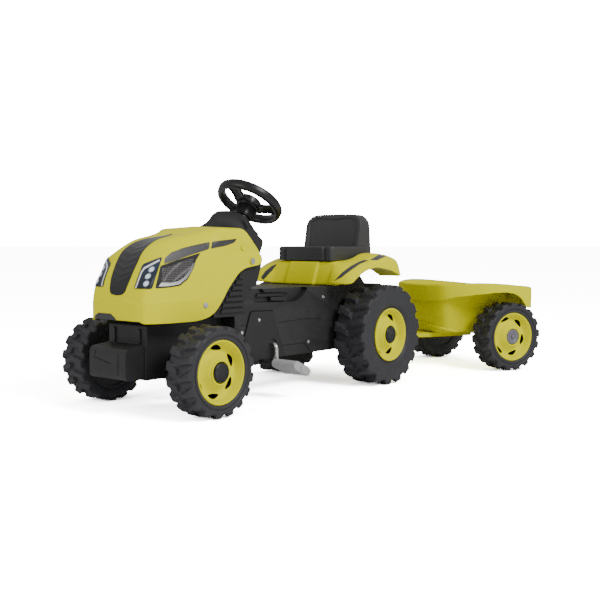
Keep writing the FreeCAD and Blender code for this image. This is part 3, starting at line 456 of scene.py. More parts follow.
def patch(name, outline, direction, tree, lift, material, spacing=4.0, sink=0.5):
    """A thin closed piece that lies on a surface. The outline's 3-D points are cast along direction."""
    forward = Vector(direction).normalized()
    side = forward.cross(Vector((0, 0, 1))).normalized() if abs(forward.z) < 0.95 else Vector((0, 1, 0))
    up = side.cross(forward).normalized()
    flat = [Vector((Vector(p).dot(side), Vector(p).dot(up))) for p in outline]
    border = []
    for a, b in zip(flat, flat[1:] + flat[:1]):
        steps = max(1, math.ceil((b - a).length / spacing))
        border += [a.lerp(b, k / steps) for k in range(steps)]
    low = Vector((min(p.x for p in flat), min(p.y for p in flat)))
    high = Vector((max(p.x for p in flat), max(p.y for p in flat)))
    inner = []
    u = low.x + spacing * 0.5
    while u < high.x:
        v = low.y + spacing * 0.5
        while v < high.y:
            if min((Vector((u, v)) - p).length for p in border) > spacing * 0.45:
                inner.append(Vector((u, v)))
            v += spacing
        u += spacing
    verts, _, tris, _, _, _ = delaunay_2d_cdt(border + inner, [], [list(range(len(border)))], 1, 1e-6)
    used = sorted({i for tri in tris for i in tri})
    index = {old: new for new, old in enumerate(used)}
    depth = max(Vector(p).dot(forward) for p in outline)
    top, bottom = [], []
    for old in used:
        start = side * verts[old].x + up * verts[old].y + forward * (depth - 300)
        hit, normal, _, _ = tree.ray_cast(start, forward)
        if hit is None:
            hit, normal, _, _ = tree.find_nearest(start + forward * 300)
        if normal.dot(forward) > 0:
            normal = -normal
        top.append(hit + normal * lift)
        bottom.append(hit - normal * sink)
    count = len(used)
    faces = [tuple(index[i] for i in tri) for tri in tris]
    counted = {}
    for tri in faces:
        for a, b in zip(tri, tri[1:] + tri[:1]):
            counted[frozenset((a, b))] = counted.get(frozenset((a, b)), []) + [(a, b)]
    walls = [(b, a, a + count, b + count) for seen in counted.values() if len(seen) == 1 for a, b in seen]
    under = [tuple(i + count for i in reversed(tri)) for tri in faces]
    item = place_object(name, mesh_from(name, top + bottom, faces + under + walls), material)
    item.data.shade_smooth()
    item.data.set_sharp_from_angle(angle=math.radians(40))
    return item


# ---------------------------------------------------------------- camera, floor and light
camera = bpy.data.objects.new("camera", bpy.data.cameras.new("camera"))
bpy.context.scene.collection.objects.link(camera)
camera.data.sensor_width = 36
camera.data.lens = 55.75
camera.location = (2.032, 1.619, 0.383)
aim = Vector((0.1195, 0, 0.222)) - camera.location
camera.rotation_euler = aim.to_track_quat("-Z", "Y").to_euler()
camera.data.clip_end = 200
bpy.context.scene.camera = camera

# The floor is a disc of rings, in metres, just under the wheels.
FLOOR_RADII = (0.5, 2, 6, 20, 60)
FLOOR_STEPS = 96
FLOOR_Z = -0.0004
floor_angles = [2 * math.pi * k / FLOOR_STEPS for k in range(FLOOR_STEPS)]
floor_points = [(radius * math.cos(angle), radius * math.sin(angle), FLOOR_Z)
                for radius in FLOOR_RADII for angle in floor_angles]
floor_faces = grid_faces(len(FLOOR_RADII), FLOOR_STEPS, wrap_columns=True) + [tuple(range(FLOOR_STEPS))]
# how bright the floor and the world are where the camera sees them directly
WHITE_OUT = 22


def bright_for_camera(tree, add, plain, target):
    """Feed a colour that is plain for other rays and bright when the camera sees it directly."""
    path = add("ShaderNodeLightPath")
    choice = add("ShaderNodeMixRGB")
    choice.inputs["Color1"].default_value = (plain, plain, plain, 1)
    choice.inputs["Color2"].default_value = (WHITE_OUT, WHITE_OUT, WHITE_OUT, 1)
    tree.links.new(path.outputs["Is Camera Ray"], choice.inputs["Fac"])
    tree.links.new(choice.outputs["Color"], target)


FLOOR_FINISH, floor_tree, floor_shader, floor_add = shade_tree("floor_paint")
floor_speck = floor_add("ShaderNodeTexNoise", Scale=8.0, Detail=4.0)
floor_gloss = floor_add("ShaderNodeMapRange", To_Min=0.92, To_Max=1.0)
floor_tree.links.new(floor_speck.outputs["Fac"], floor_gloss.inputs["Value"])
floor_tree.links.new(floor_gloss.outputs["Result"], floor_shader.inputs["Roughness"])
floor_shader.inputs["Specular IOR Level"].default_value = 0.0
bright_for_camera(floor_tree, floor_add, 0.9, floor_shader.inputs["Base Color"])
studio_floor = place_object("studio_floor", mesh_from("studio_floor", floor_points, floor_faces, 1),
                            FLOOR_FINISH)

world = bpy.data.worlds.new("studio")
bpy.context.scene.world = world
world.use_nodes = True


def add_to_world(kind):
    """A new node in the world's tree."""
    return world.node_tree.nodes.new(kind)


bright_for_camera(world.node_tree, add_to_world, 0.55, world.node_tree.nodes["Background"].inputs["Color"])


def area_light(name, location, target, size, power):
    """A rectangular light in metres, aimed at a target."""
    lamp = bpy.data.lights.new(name, "AREA")
    lamp.shape = "RECTANGLE"
    lamp.size, lamp.size_y = size
    lamp.energy = power
    item = bpy.data.objects.new(name, lamp)
    bpy.context.scene.collection.objects.link(item)
    item.location = location
    item.rotation_euler = (Vector(target) - Vector(location)).to_track_quat("-Z", "Y").to_euler()


area_light("key_light", (0.5, 3.2, 2.6), (0.1, 0, 0.2), (1.5, 1.2), 98)
area_light("fill_light", (3.4, -0.4, 1.4), (0.3, 0, 0.2), (1.6, 1.6), 22)

# ---------------------------------------------------------------- wheels
LUGS = 17
LUG_SAMPLES = 20
LUG_PITCH = 360 / LUGS
RIM_SLOTS = 6


def lug_share(angle, across, half):
    """How far a tread bar rises at an angle, in degrees, and a distance from the tyre's middle."""
    reach = abs(across) / half
    if abs(across) < 2.6:
        return 0
    lean = 8.0 * (1 - reach)
    start = 0 if across > 0 else LUG_PITCH / 2
    off = (angle - start + lean + LUG_PITCH / 2) % LUG_PITCH - LUG_PITCH / 2
    return ease(3.2 + 2.9 * reach - abs(off), -0.55, 0.55)


def tyre_mesh(name, radius, width, wall):
    """A tyre about Y with its outer side at +Y. wall is the outer sidewall from the bead to the tread."""
    half = width / 2
    base = radius * 0.93
    shoulder = [(half - 0.9, base - 5.2, radius - 7.2), (half - 1.5, base - 3.2, radius - 2.8),
                (half - 3.0, base - 1.4, radius - 0.9), (half - 6.0, base, radius - 0.1),
                (half - 12, base, radius), (half * 0.42, base, radius), (half * 0.2, base, radius),
                (4.6, base, radius - 0.3), (3.6, base, radius - 1.2), (2.7, base, base + 0.2),
                (2.0, base - 0.6, base - 0.6)]
    tread = shoulder + [(-y, low, high) for y, low, high in reversed(shoulder)]
    back = [(half - 1, base - 8), (half - 2.5, base - 14), (half - 5, base - 20), (half - 8, 70),
            (half - 8, 66)]
    inside = [(66, 13 - half), (radius - 27, 6 - half), (base - 8, 18 - half), (base - 8, half - 18),
              (radius - 27, half - 6), (66, half - 13)]
    segments = LUGS * LUG_SAMPLES
    rings = []
    for k in range(segments):
        angle = 360 * k / segments
        cosine, sine = math.cos(math.radians(angle)), math.sin(math.radians(angle))
        section = list(wall)
        section += [(low + (high - low) * lug_share(angle, y, half), y) for y, low, high in tread]
        section += [(r, -y) for y, r in back]
        section += inside
        rings.append([(r * cosine, y, r * sine) for r, y in section])
    points = [p for ring in rings for p in ring]
    mesh = mesh_from(name, points, grid_faces(segments, len(rings[0]), wrap_columns=True, wrap_rows=True))
    mesh.shade_smooth()
    mesh.set_sharp_from_angle(angle=math.radians(36))
    return mesh


FRONT_WALL = [(66, 30), (70, 30), (70.6, 32.5), (72, 34), (74, 35.6), (76.5, 36.4), (78.5, 36.0),
              (79.6, 34.6), (81, 34.6), (82.2, 36.2), (84, 37.4), (86, 37.2)]
REAR_WALL = [(66, 40.5), (70, 40.5), (70.6, 39.6), (72.6, 39.4), (74, 40.6), (77, 43.2), (82, 46.4),
             (88, 48.0), (95, 48.5), (102, 48.2), (109, 47.6), (115, 47.4)]


def rim_mesh(name, width):
    """A dished disc with a boss, about Y, with lens-shaped slots and a dark plate behind them: the plate and
    the rim's rear faces are painted shade seen through the slots.
    """
    half = width / 2
    section = [(66, half - 8), (70, half - 8), (70.4, half - 5.6), (69.6, half - 4.3), (68.2, half - 3.8),
               (66.8, half - 4.4), (65.8, half - 6.5), (63.8, half - 14), (62.0, half - 22),
               (60.4, half - 25.4), (57.5, half - 26.8), (50, half - 27), (45, half - 26.2),
               (40, half - 23.4), (35.6, half - 19.0), (32.6, half - 14.4), (31, half - 11.6),
               (29.6, half - 10.6), (28.6, half - 10.4), (28.2, half - 7.4), (27.2, half - 6.0),
               (25.6, half - 5.8), (24.0, half - 6.4), (23.4, half - 12.4), (6.1, half - 12.6),
               (6.1, 4 - half), (16, 4 - half), (16, half - 31), (57, half - 31), (61, half - 28),
               (62.6, half - 22), (63, 12 - half), (66, 12 - half)]
    disc = turned(name, section, LIME, segments=120, closed=True)
    cutters = []
    lens = rounded([(-18, 49.5), (-10, 56.6), (0, 59.8), (10, 56.6), (18, 49.5), (9, 47.2), (-9, 47.2)], 6,
                   3)
    for k in range(RIM_SLOTS):
        turn = Matrix.Rotation(2 * math.pi * k / RIM_SLOTS, 2)
        cutters.append(prism(f"slot_{k}", [turn @ Vector(p) for p in lens], "y", -60, 60, LIME))
    carve(disc, *cutters)
    joined(disc, turned("back_plate", [(15, 13 - half), (64, 13 - half), (64, 15 - half), (15, 15 - half)],
                        LIME, segments=120, closed=True))
    disc.data.shade_smooth()
    disc.data.set_sharp_from_angle(angle=math.radians(32))
    # painted shade: the rear faces and the plate behind the slots take charcoal in place of the shade there
    disc.data.materials.append(CHARCOAL)
    for face in disc.data.polygons:
        face.material_index = 1 if face.center.y < (half - 27.6) * MM else 0
    mesh = disc.data
    bpy.data.objects.remove(disc)
    return mesh


def cap_mesh(name, width, bolt):
    """A hub cap with a rolled edge and a shallow dish, or with a bolt head in its middle."""
    half = width / 2
    section = [(0.01, half - 4.9), (13, half - 4.7), (16, half - 4.2), (18.2, half - 3.0),
               (19.6, half - 2.6), (21.2, half - 3.4), (22.4, half - 6.0), (22.7, half - 12.5),
               (0.01, half - 12.5)]
    if bolt:
        section = [(0.01, half - 3.6), (3.2, half - 3.8), (4.4, half - 4.8), (4.6, half - 8.6),
                   (9, half - 8.8), (12.5, half - 8.2), (15, half - 6.2), (18, half - 5.2),
                   (21, half - 6.2), (22.9, half - 12.5), (0.01, half - 12.5)]
    cap = turned(name, section, BLACK, segments=64)
    cap.data.shade_smooth()
    cap.data.set_sharp_from_angle(angle=math.radians(40))
    mesh = cap.data
    bpy.data.objects.remove(cap)
    return mesh


FRONT_RADIUS, FRONT_WIDTH = 100, 76
REAR_RADIUS, REAR_WIDTH = 133, 97
TYRES = {"front": tyre_mesh("tyre_front", FRONT_RADIUS, FRONT_WIDTH, FRONT_WALL),
         "rear": tyre_mesh("tyre_rear", REAR_RADIUS, REAR_WIDTH, REAR_WALL)}
TYRES["trailer"] = TYRES["front"]
RIMS = {"front": rim_mesh("rim_front", FRONT_WIDTH), "rear": rim_mesh("rim_rear", REAR_WIDTH)}
RIMS["trailer"] = RIMS["front"]
CAPS = {"front": cap_mesh("cap_front", FRONT_WIDTH, False), "rear": cap_mesh("cap_rear", REAR_WIDTH, False),
        "trailer": cap_mesh("cap_trailer", FRONT_WIDTH, True)}
TRAILER_YAW = -21.74
# Where the tread bars and the slots stand on each wheel, as angles from +X towards +Z.
PHASES = {"front": (1.9, 5), "rear": (1.6, -26), "trailer": (7.1, -17)}
WHEEL_BODIES = {("left", "rear"): "rear_axle", ("right", "rear"): "right_rear_wheel"}


def wheel_place(side, axle, turn):
    """The place of a wheel's parts, from the box of its CAD rim."""
    low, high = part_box(f"{side}_{axle}_rim")
    yaw = (TRAILER_YAW if axle == "trailer" else 0) + (180 if side == "right" else 0)
    return (Matrix.Translation((low + high) / 2) @ Matrix.Rotation(math.radians(yaw), 4, "Z")
            @ Matrix.Rotation(math.radians(-turn), 4, "Y"))


for side in ("left", "right"):
    for axle in ("front", "rear", "trailer"):
        body = WHEEL_BODIES.get((side, axle), f"{side}_{axle}_wheel")
        pieces = [("tyre", TYRES, TYRE, "tyre_plastic", PHASES[axle][0]),
                  ("rim", RIMS, LIME, "lime_plastic", PHASES[axle][1]),
                  ("cap", CAPS, CAP_GREY if axle == "trailer" else BLACK, "black_plastic", 0)]
        for kind, meshes, finish, slot_name, turn in pieces:
            mesh = meshes[axle].copy()
            wheel_piece = bpy.data.objects.new(f"{side}_{axle}_{kind}_form", mesh)
            bpy.context.scene.collection.objects.link(wheel_piece)
            if mesh.materials:
                mesh.materials[0] = finish
            else:
                mesh.materials.append(finish)
            wheel_piece.matrix_world = wheel_place(side, axle, turn)
            finish_piece(wheel_piece, body, slot_name, f"{side}_{axle}_{kind}")

# ---------------------------------------------------------------- bonnet
# Each row holds x, the height on the centreline, half-width and height of the shoulder, half-width and
# height of the upper side, and the half-width of the skirt.
BONNET_ROWS = [
    (742, 262, 40, 261, 80, 256, 86), (730, 298, 50, 296, 89, 284, 97), (712, 332, 52, 333, 91, 312, 106),
    (691, 360, 48, 362, 93, 344, 112), (650, 382, 59, 384, 96, 358, 117),
    (590, 394, 71, 396, 100, 368, 120), (525, 411, 95, 406, 107, 380, 121),
    (475, 416, 112, 411, 117, 390, 121), (405, 416, 114, 411, 119, 390, 121)]
# height of the lower edge and of the pressed line above it, by x
BONNET_EDGE = [(400, 336), (403, 329), (408, 325), (430, 322.5), (454, 319), (470, 313), (480, 307),
               (514, 272), (540, 240), (552, 226), (564, 217.5), (577, 211), (600, 206), (620, 204),
               (760, 204)]
BONNET_LINE = [(400, 349), (450, 347), (486, 343), (505, 336), (523, 326), (550, 302), (577, 272),
               (590, 261), (603, 256), (630, 252), (680, 251), (735, 248), (760, 247)]
NOTCH_HALF_WIDTH = 78
BONNET_FRONT, BONNET_REAR = 742, 400
# how far the rear edge stands forward of its lowest point, by height, and where the shift dies out
LEAN_REACH = 590
REAR_LEAN = [(340, 0), (353, 6), (365, 16), (378, 30), (391, 42), (403, 52), (411, 60), (417, 63)]


def smooth_table(table, x, reach=7):
    """A table's reading averaged over a short stretch of x."""
    return sum(along(table, x + reach * k / 3) for k in range(-3, 4)) / 7


def rear_lean(x, z):
    """How far a point of the bonnet is shifted forward, so that the rear edge slants."""
    return along(REAR_LEAN, z) * ease(LEAN_REACH - x, 0, LEAN_REACH - BONNET_REAR)


def bonnet_half(row, front_inset):
    """Half of one cross-section, from its lower edge up to the centreline or the notch."""
    x, top, shoulder, shoulder_top, side_half, side_top, skirt = row
    low = smooth_table(BONNET_EDGE, x)
    line = max(smooth_table(BONNET_LINE, x), low + 6)
    shoulder = min(shoulder, side_half - 4)

    def flank(z):
        """Half-width of the side at a height, before the pressed line."""
        return skirt if z <= 250 else skirt + (side_half - skirt) * (z - 250) / max(side_top - 250, 1)

    half = []
    for k in range(9):
        z = low + (line - 0.8 - low) * k / 8
        half.append((flank(z), z))
    for k in range(1, 5):
        z = line - 0.8 + 1.6 * k / 4
        half.append((flank(z) - 2.4 * ease(k, 0, 4), z))
    steps = 12
    side_end = max(side_top - 9, line + 3)
    for k in range(1, steps + 1):
        z = line + 0.8 + (side_end - line - 0.8) * k / steps
        half.append((flank(z) - 2.4 * (1 - ease(k, 0, steps)) - 0.5 * math.sin(math.pi * k / steps), z))
    bend_in = half[-1]
    moved = x + rear_lean(x, 414)
    notch = 0 if moved >= 500 else min((500 - moved) * NOTCH_HALF_WIDTH / 72, NOTCH_HALF_WIDTH)
    crown = [(side_half, side_top), (shoulder, shoulder_top), (0, top)]
    path = rounded([(*bend_in, 0)] + [(y, z, 0) for y, z in crown], [0, 11, 16, 0], 6, closed=False)
    lengths = [0]
    for a, b in zip(path, path[1:]):
        lengths.append(lengths[-1] + (b - a).length)
    if notch > 0:
        for i, (a, b) in enumerate(zip(path, path[1:])):
            if b.x <= notch <= a.x:
                cut = a.lerp(b, (a.x - notch) / max(a.x - b.x, 1e-6))
                path = path[:i + 1] + [cut]
                lengths = lengths[:i + 1] + [lengths[i] + (cut - a).length]
                break
    count = 26
    for k in range(1, count + 1):
        goal = lengths[-1] * k / count
        i = max(j for j in range(len(lengths) - 1) if lengths[j] <= goal + 1e-9)
        share = (goal - lengths[i]) / max(lengths[i + 1] - lengths[i], 1e-9)
        spot = path[i].lerp(path[i + 1], min(share, 1))
        half.append((spot.x, spot.y))
    middle = (low + top) / 2
    reach = max(top - low, 1)
    return [(y * (1 - front_inset / max(skirt, 1)), z + front_inset * (middle - z) / reach) for y,
            z in half]


padded_rows = [(*row, 0, 0) for row in BONNET_ROWS]
dense = [curve_through([row[i:i + 3] for row in padded_rows], 14) for i in (0, 3, 6)]
# the nose rounds over from the front face into the first stations
NOSE_ROUND = 4.5
sections = []
for k in range(5):
    angle = math.pi / 2 * k / 4
    setback = NOSE_ROUND * (1 - math.cos(angle))
    row = [a + (b - a) * setback / 12 for a, b in zip(BONNET_ROWS[0], BONNET_ROWS[1])]
    row[0] = BONNET_FRONT - setback
    sections.append((row, 2 * NOSE_ROUND * (1 - math.sin(angle))))
sections += [((*a, *b, c.x), 0) for a, b, c in zip(*dense) if a.x < BONNET_FRONT - 5]
sections += [((x, *BONNET_ROWS[-1][1:]), 0) for x in (BONNET_REAR + 1.5, BONNET_REAR)]
halves = [bonnet_half(row, inset) for row, inset in sections]
bonnet_points, bonnet_faces = [], []
for sign in (1, -1):
    start = len(bonnet_points)
    for (row, _), half in zip(sections, halves):
        for y, z in half:
            bonnet_points.append((row[0] + rear_lean(row[0], z), sign * y, z))
    bonnet_faces += [tuple(start + i for i in face) for face in grid_faces(len(sections), len(halves[0]))]
# the closed front: rows across, between the two halves of the first section
front_row = len(halves[0])
columns = 30
start = len(bonnet_points)
for k, (y, z) in enumerate(halves[0]):
    for m in range(columns + 1):
        across = 1 - 2 * m / columns
        ridge = 250 + 7 * ease(46 - abs(y * across + 4), 0, 16)
        proud = 2.2 * ease(ridge - z, -1.5, 1.5) * ease(1 - abs(across), 0, 0.10)
        crown = 2.2 * (1 - across * across) * ease(k, 0, 2)
        bonnet_points.append((BONNET_FRONT + proud + crown, y * across, z))
bonnet_faces += [tuple(start + i for i in face) for face in grid_faces(front_row, columns + 1)]
bonnet = place_object("bonnet_form", mesh_from("bonnet_form", bonnet_points, bonnet_faces), LIME)
skin = hull_of(bonnet)
modify(bonnet, "SOLIDIFY", thickness=0.0036, offset=-1, use_even_offset=True, use_rim=True)
bake(bonnet)
soften(bonnet, 0.9, 2, angle=60, smooth=30)
finish_piece(bonnet, "bonnet", "lime_plastic", "bonnet_shell")

SIDE = (0, -1, 0)
HEADLIGHT = [(712, 55, 331), (690, 93, 347), (725, 97, 279), (738, 55, 279)]
VENT_OUTLINE = [(714, 100, 280), (697, 100, 328), (656, 100, 339), (586, 100, 355), (602, 100, 337),
                (610, 100, 321), (630, 100, 297), (653, 100, 284), (681, 100, 281)]
VENT_INNER = [(700, 100, 294), (694, 100, 322), (656, 100, 332), (606, 100, 345), (619, 100, 322),
              (640, 100, 304), (657, 100, 296), (677, 100, 293)]
VENT_BEVEL = [(707, 100, 284), (700, 100, 292), (677, 100, 291), (657, 100, 294), (640, 100, 302),
              (622, 100, 318), (611, 100, 333), (606, 100, 333), (614, 100, 318), (633, 100, 299),
              (655, 100, 287), (681, 100, 284)]
SWOOSH_FRONT = [(688, 97, 332), (684, 97, 345), (664, 97, 356), (628, 97, 366), (590, 97, 373),
                (555, 97, 379), (562, 97, 363), (586, 97, 357), (620, 97, 349), (653, 97, 340)]
DIMPLE = [(0.01, 0.2), (4.5, 0.25), (5.5, 0.7), (6.2, 0.9), (6.8, 0.6), (7, 0)]
PLUG = [(0.01, 3.0), (4, 2.9), (5.6, 2.2), (6.2, 0.8), (6.2, -2)]
SWOOSH_REAR = [(549, 100, 380), (513, 100, 384), (485, 100, 387), (493, 100, 378), (518, 100, 370),
               (556, 100, 364)]


def corner_mix(corners, across, down):
    """A point of a four-cornered field: across from left to right, down from top to bottom."""
    top = Vector(corners[0]).lerp(Vector(corners[1]), across)
    low = Vector(corners[3]).lerp(Vector(corners[2]), across)
    return top.lerp(low, down)


def mirror(points):
    """Points moved to the other side of the middle plane."""
    return [(p[0], -p[1], p[2]) for p in points]


def ride_bonnet(item, slot_name, *nodes):
    """A piece that moves with the bonnet."""
    return finish_piece(item, "bonnet", slot_name, *nodes)


grille_half = [(745, 0, 266), (742, 20, 266), (738, 27, 272), (730, 33, 300), (712, 36, 333),
               (691, 35, 361), (665, 31, 377), (632, 22, 386), (602, 12, 391), (575, 3, 396)]
grille_outline = grille_half + [(x, -y, z) for x, y, z in reversed(grille_half) if y > 0]
GRILLE_DIRECTION = (-0.72, 0, -0.69)
grille = patch("grille_sticker", rounded(grille_outline, 7, 3), GRILLE_DIRECTION, skin, 0.8, STICKER, 4.5,
               sink=0.6)
ride_bonnet(grille, "vent_label", "grille_panel")
grille_skin = hull_of(grille)
centreline = [(738, 280), (734, 292), (728, 306), (720, 321), (711, 335), (700, 350), (688, 362),
              (672, 373)]
for i in range(1, 7):
    x0, z0 = centreline[i]
    x1, z1 = (centreline[i][0] + centreline[i + 1][0]) / 2, (centreline[i][1] + centreline[i + 1][1]) / 2
    wing = (27, 30, 32, 32, 31, 28)[i - 1]
    rise = Vector((x1 - x0, 0, z1 - z0)).normalized() * 11
    chevron = [Vector((x0, 0, z0)), Vector((x0, wing, z0)) + rise, Vector((x1, wing, z1)) + rise,
               Vector((x1, 0, z1)), Vector((x1, -wing, z1)) + rise, Vector((x0, -wing, z0)) + rise]
    rib = patch(f"grille_rib_{i}", chevron, GRILLE_DIRECTION, grille_skin, 0.5, RIB, 4)
    ride_bonnet(rib, "vent_label")

for side, flip in (("left", False), ("right", True)):
    turn = mirror if flip else list
    inward = (0, 1, 0) if flip else SIDE
    lamp_direction = (-0.75, 0.62 if flip else -0.62, -0.05)
    lamp = patch(f"{side}_lamp_sticker", rounded(turn(HEADLIGHT), 5, 3), lamp_direction, skin, 1.3, NAVY,
                 3, sink=0.6)
    ride_bonnet(lamp, "lamp_label", *once(side, "headlight_lenses"))
    lamp_skin = hull_of(lamp)
    line = [(0.05, 0.97), (0.06, 0.30), (0.14, 0.16), (0.90, 0.05), (0.93, 0.12), (0.22, 0.25),
            (0.15, 0.36), (0.13, 0.97)]
    stroke = [tuple(corner_mix(HEADLIGHT, a, d)) for a, d in line]
    ride_bonnet(patch(f"{side}_lamp_line", turn(stroke), lamp_direction, lamp_skin, 0.4, WHITE, 4),
                "lamp_label")
    for i, (across, down) in enumerate(((0.64, 0.34), (0.58, 0.57), (0.62, 0.82))):
        spot = corner_mix(HEADLIGHT, across, down)
        ring = [corner_mix(HEADLIGHT, across + 0.165 * math.cos(t * math.pi / 12),
                           down + 0.10 * math.sin(t * math.pi / 12)) for t in range(24)]
        # each printed LAMP_PRINT_GLOW spot glows a little through emission: painted light
        glow = patch(f"{side}_lamp_led_{i}", turn([tuple(p) for p in ring]), lamp_direction, lamp_skin,
                     0.6, LAMP_PRINT_GLOW, 3)
        centre = sum((v.co for v in glow.data.vertices), Vector()) / len(glow.data.vertices)
        glow.data.transform(Matrix.Translation(-centre))
        glow.matrix_world = Matrix.Translation(centre)
        ride_bonnet(glow, "lamp_label")
    frame_piece = patch(f"{side}_vent_frame", rounded(turn(VENT_OUTLINE), 4, 3), inward, skin, 0.8,
                        STICKER, 4, sink=0.6)
    ride_bonnet(frame_piece, "vent_label", *once(side, "side_vents"))
    vent_skin = hull_of(frame_piece)
    ride_bonnet(patch(f"{side}_vent_mesh", turn(VENT_INNER), inward, vent_skin, 0.7, VENT, 4), "vent_label")
    ride_bonnet(patch(f"{side}_vent_bevel", turn(VENT_BEVEL), inward, vent_skin, 0.9, SILVER, 4),
                "vent_label")
    for name, outline in (("front", SWOOSH_FRONT), ("rear", SWOOSH_REAR)):
        ride_bonnet(patch(f"{side}_swoosh_{name}", rounded(turn(outline), 3, 2), inward, skin, 0.8, SWOOSH,
                          4),
                    "vent_label")
    sign = -1 if flip else 1
    ride_bonnet(button(f"{side}_bonnet_dimple", DIMPLE, LIME, (464, sign * 119.2, 367), sign, 32),
                "lime_plastic")
    ride_bonnet(button(f"{side}_bonnet_plug", PLUG, GREY, (588, sign * 120.5, 238), sign, 32),
                "grey_plastic")

plate = [(750, -80, 203), (750, -75, 214), (750, -58, 222), (750, -14, 222), (750, -2, 214), (750, 5, 203)]
ride_bonnet(patch("front_plate_sticker", plate, (-1, 0, 0), skin, 0.8, STRIPE, 4), "vent_label")

# ---------------------------------------------------------------- fender deck
# Profiles in the side plane, from the lower rear corner over the top to the lower front corner and
# back along the underside, for half-widths that grow outwards.
DECK_UNDER = [(95, 262), (66, 262), (40, 300), (-10, 305), (-59, 306)]
DECK_FLAT = [(-112, 315), (-112, 328), (-60, 328.3), (-5, 328.3), (40, 328.3), (70, 328.3)]
DECK_MIDDLE = DECK_FLAT + [(104, 326.5), (117, 294), (128, 265)] + DECK_UNDER + [(-112, 306)]
DECK_PROFILES = [
    (0, DECK_MIDDLE), (47, DECK_MIDDLE),
    (54, DECK_FLAT + [(98, 326.5), (112, 294), (122, 265)] + DECK_UNDER + [(-112, 306)]),
    (98, [(-112, 315), (-110, 330), (-60, 330), (-5, 330), (38, 329), (66, 328.3), (100, 325.5), (114, 294),
          (125, 266), *DECK_UNDER, (-110, 306)]),
    (105, [(-106, 310), (-97, 335), (-53, 345), (-5, 344), (32, 333), (64, 328.6), (100, 322), (118, 296),
           (130, 268), (100, 264), (68, 266), (38, 301), (-10, 307), (-59, 305), (-106, 300)]),
    (109, [(-104, 290), (-95, 337), (-53, 349), (-5, 348), (31, 334), (64, 328.6), (100, 320), (121, 297),
           (134, 269), (108, 266), (70, 299), (22, 312), (-10, 311), (-59, 302), (-101, 282)]),
    (130, [(-104, 290), (-95, 338), (-53, 349), (-5, 347), (30, 333.5), (64, 327.5), (98, 316), (125, 298),
           (141, 270), (118, 267), (99, 287), (68, 302), (22, 314), (-59, 303), (-101, 283)]),
    (152, [(-103, 290), (-92, 336), (-52, 346), (-7, 344.5), (30, 332), (66, 324), (100, 310), (126, 294),
           (142, 270), (120, 269), (99, 287), (68, 302), (22, 314), (-59, 302), (-100, 283)]),
    (170, [(-101, 288), (-88, 331), (-51, 338), (-12, 336), (30, 328.5), (67, 318), (102, 301), (127, 287),
           (142, 270), (121, 270), (99, 287), (68, 302), (22, 314), (-59, 301), (-98, 283)]),
    (180, [(-99, 287), (-84, 323), (-50, 328), (-18, 327), (32, 322), (68, 311), (104, 293), (127, 281),
           (141, 271), (121, 272), (99, 287), (68, 302), (22, 314), (-59, 301), (-96, 284)])]
DECK_RADII = [0, 9, 30, 40, 40, 40, 7, 12, 6, 6, 16, 30, 30, 30, 8]


def between(table, level):
    """The list of points of a table at a level between its rows."""
    for (low, first), (high, second) in zip(table, table[1:]):
        if level <= high:
            share = (level - low) / (high - low)
            return [tuple(a + (b - a) * share for a, b in zip(p, q)) for p, q in zip(first, second)]
    return table[-1][1]


deck_levels = [0, 20, 40, 46, 47.5, 50.5, 54, 60, 75, 90, 98, 102, 105, 107, 109, 116, 124, 132, 142, 152,
               160, 166, 172, 176, 179, 180]
deck_rings = []
for level in both_ways(deck_levels):
    profile = rounded([(x, z, 0) for x, z in between(DECK_PROFILES, abs(level))], DECK_RADII, 4)
    middle = sum(profile, Vector()) / len(profile)
    inset = {179: 0.8, 180: 2.2}.get(abs(level), 0)
    deck_rings.append([(p.x + (middle.x - p.x) * inset / 90, level, p.y + (305 - p.y) * inset / 20)
                       for p in profile])
deck = stack("fender_deck_form", deck_rings, LIME)
deck_skin = hull_of(deck)
soften(deck, 0, smooth=34)
finish_piece(deck, "chassis", "lime_plastic", "fender_deck")

# Each stripe is drawn on a plane at constant y and cast onto the deck along the camera's line of sight.
STRIPES = [
    ("stripe_left_front", [(163, 150, 278), (129, 150, 299), (92, 150, 315), (59, 150, 325), (36, 150, 330),
                           (13, 150, 329), (52, 150, 320), (92, 150, 304), (129, 150, 288)]),
    ("stripe_left_rear", [(6, 150, 330), (-27, 150, 329), (-75, 150, 341), (-97, 150, 348),
                          (-48, 150, 348)]),
    ("stripe_right_front", [(111, -150, 279), (94, -150, 295), (68, -150, 309), (46, -150, 315),
                            (64, -150, 298), (85, -150, 284), (102, -150, 272)])]
for name, outline in STRIPES:
    centre = sum((Vector(p) for p in outline), Vector()) / len(outline)
    seen_from = centre - camera.location / MM
    stripe = patch(name, outline, seen_from, deck_skin, 0.7, STRIPE, 5, sink=0.6)
    finish_piece(stripe, "chassis", "vent_label")

seat_bracket = slab("seat_bracket", [(60, 258), (60, 300), (-8, 304), (-13, 286), (-42, 258)], -104, 104,
                    4, 2)
soften(seat_bracket, 1.5, 2)
finish_piece(seat_bracket, "chassis", "charcoal_plastic")

# ---------------------------------------------------------------- seat
pan_half = [(103, 0), (103, 30), (103, 58), (101, 63), (97, 67), (97, 71), (101, 75), (103, 82),
            (101.5, 89), (96, 94), (89, 96), (80, 94), (50, 94), (20, 95), (-10, 101), (-50, 101),
            (-76, 88), (-76, 40)]
pan_plan = [(x, y, 0) for x, y in pan_half] + [(x, -y, 0) for x, y in reversed(pan_half[1:])]
pan_outline = curve_through(pan_plan, 3, closed=True)


def shrunk(outline, amount, centre):
    """An outline moved inwards by about an amount towards a centre."""
    made = []
    for p in outline:
        away = Vector((p.x - centre.x, p.y - centre.y, 0))
        made.append(p - away.normalized() * min(amount, away.length))
    return made


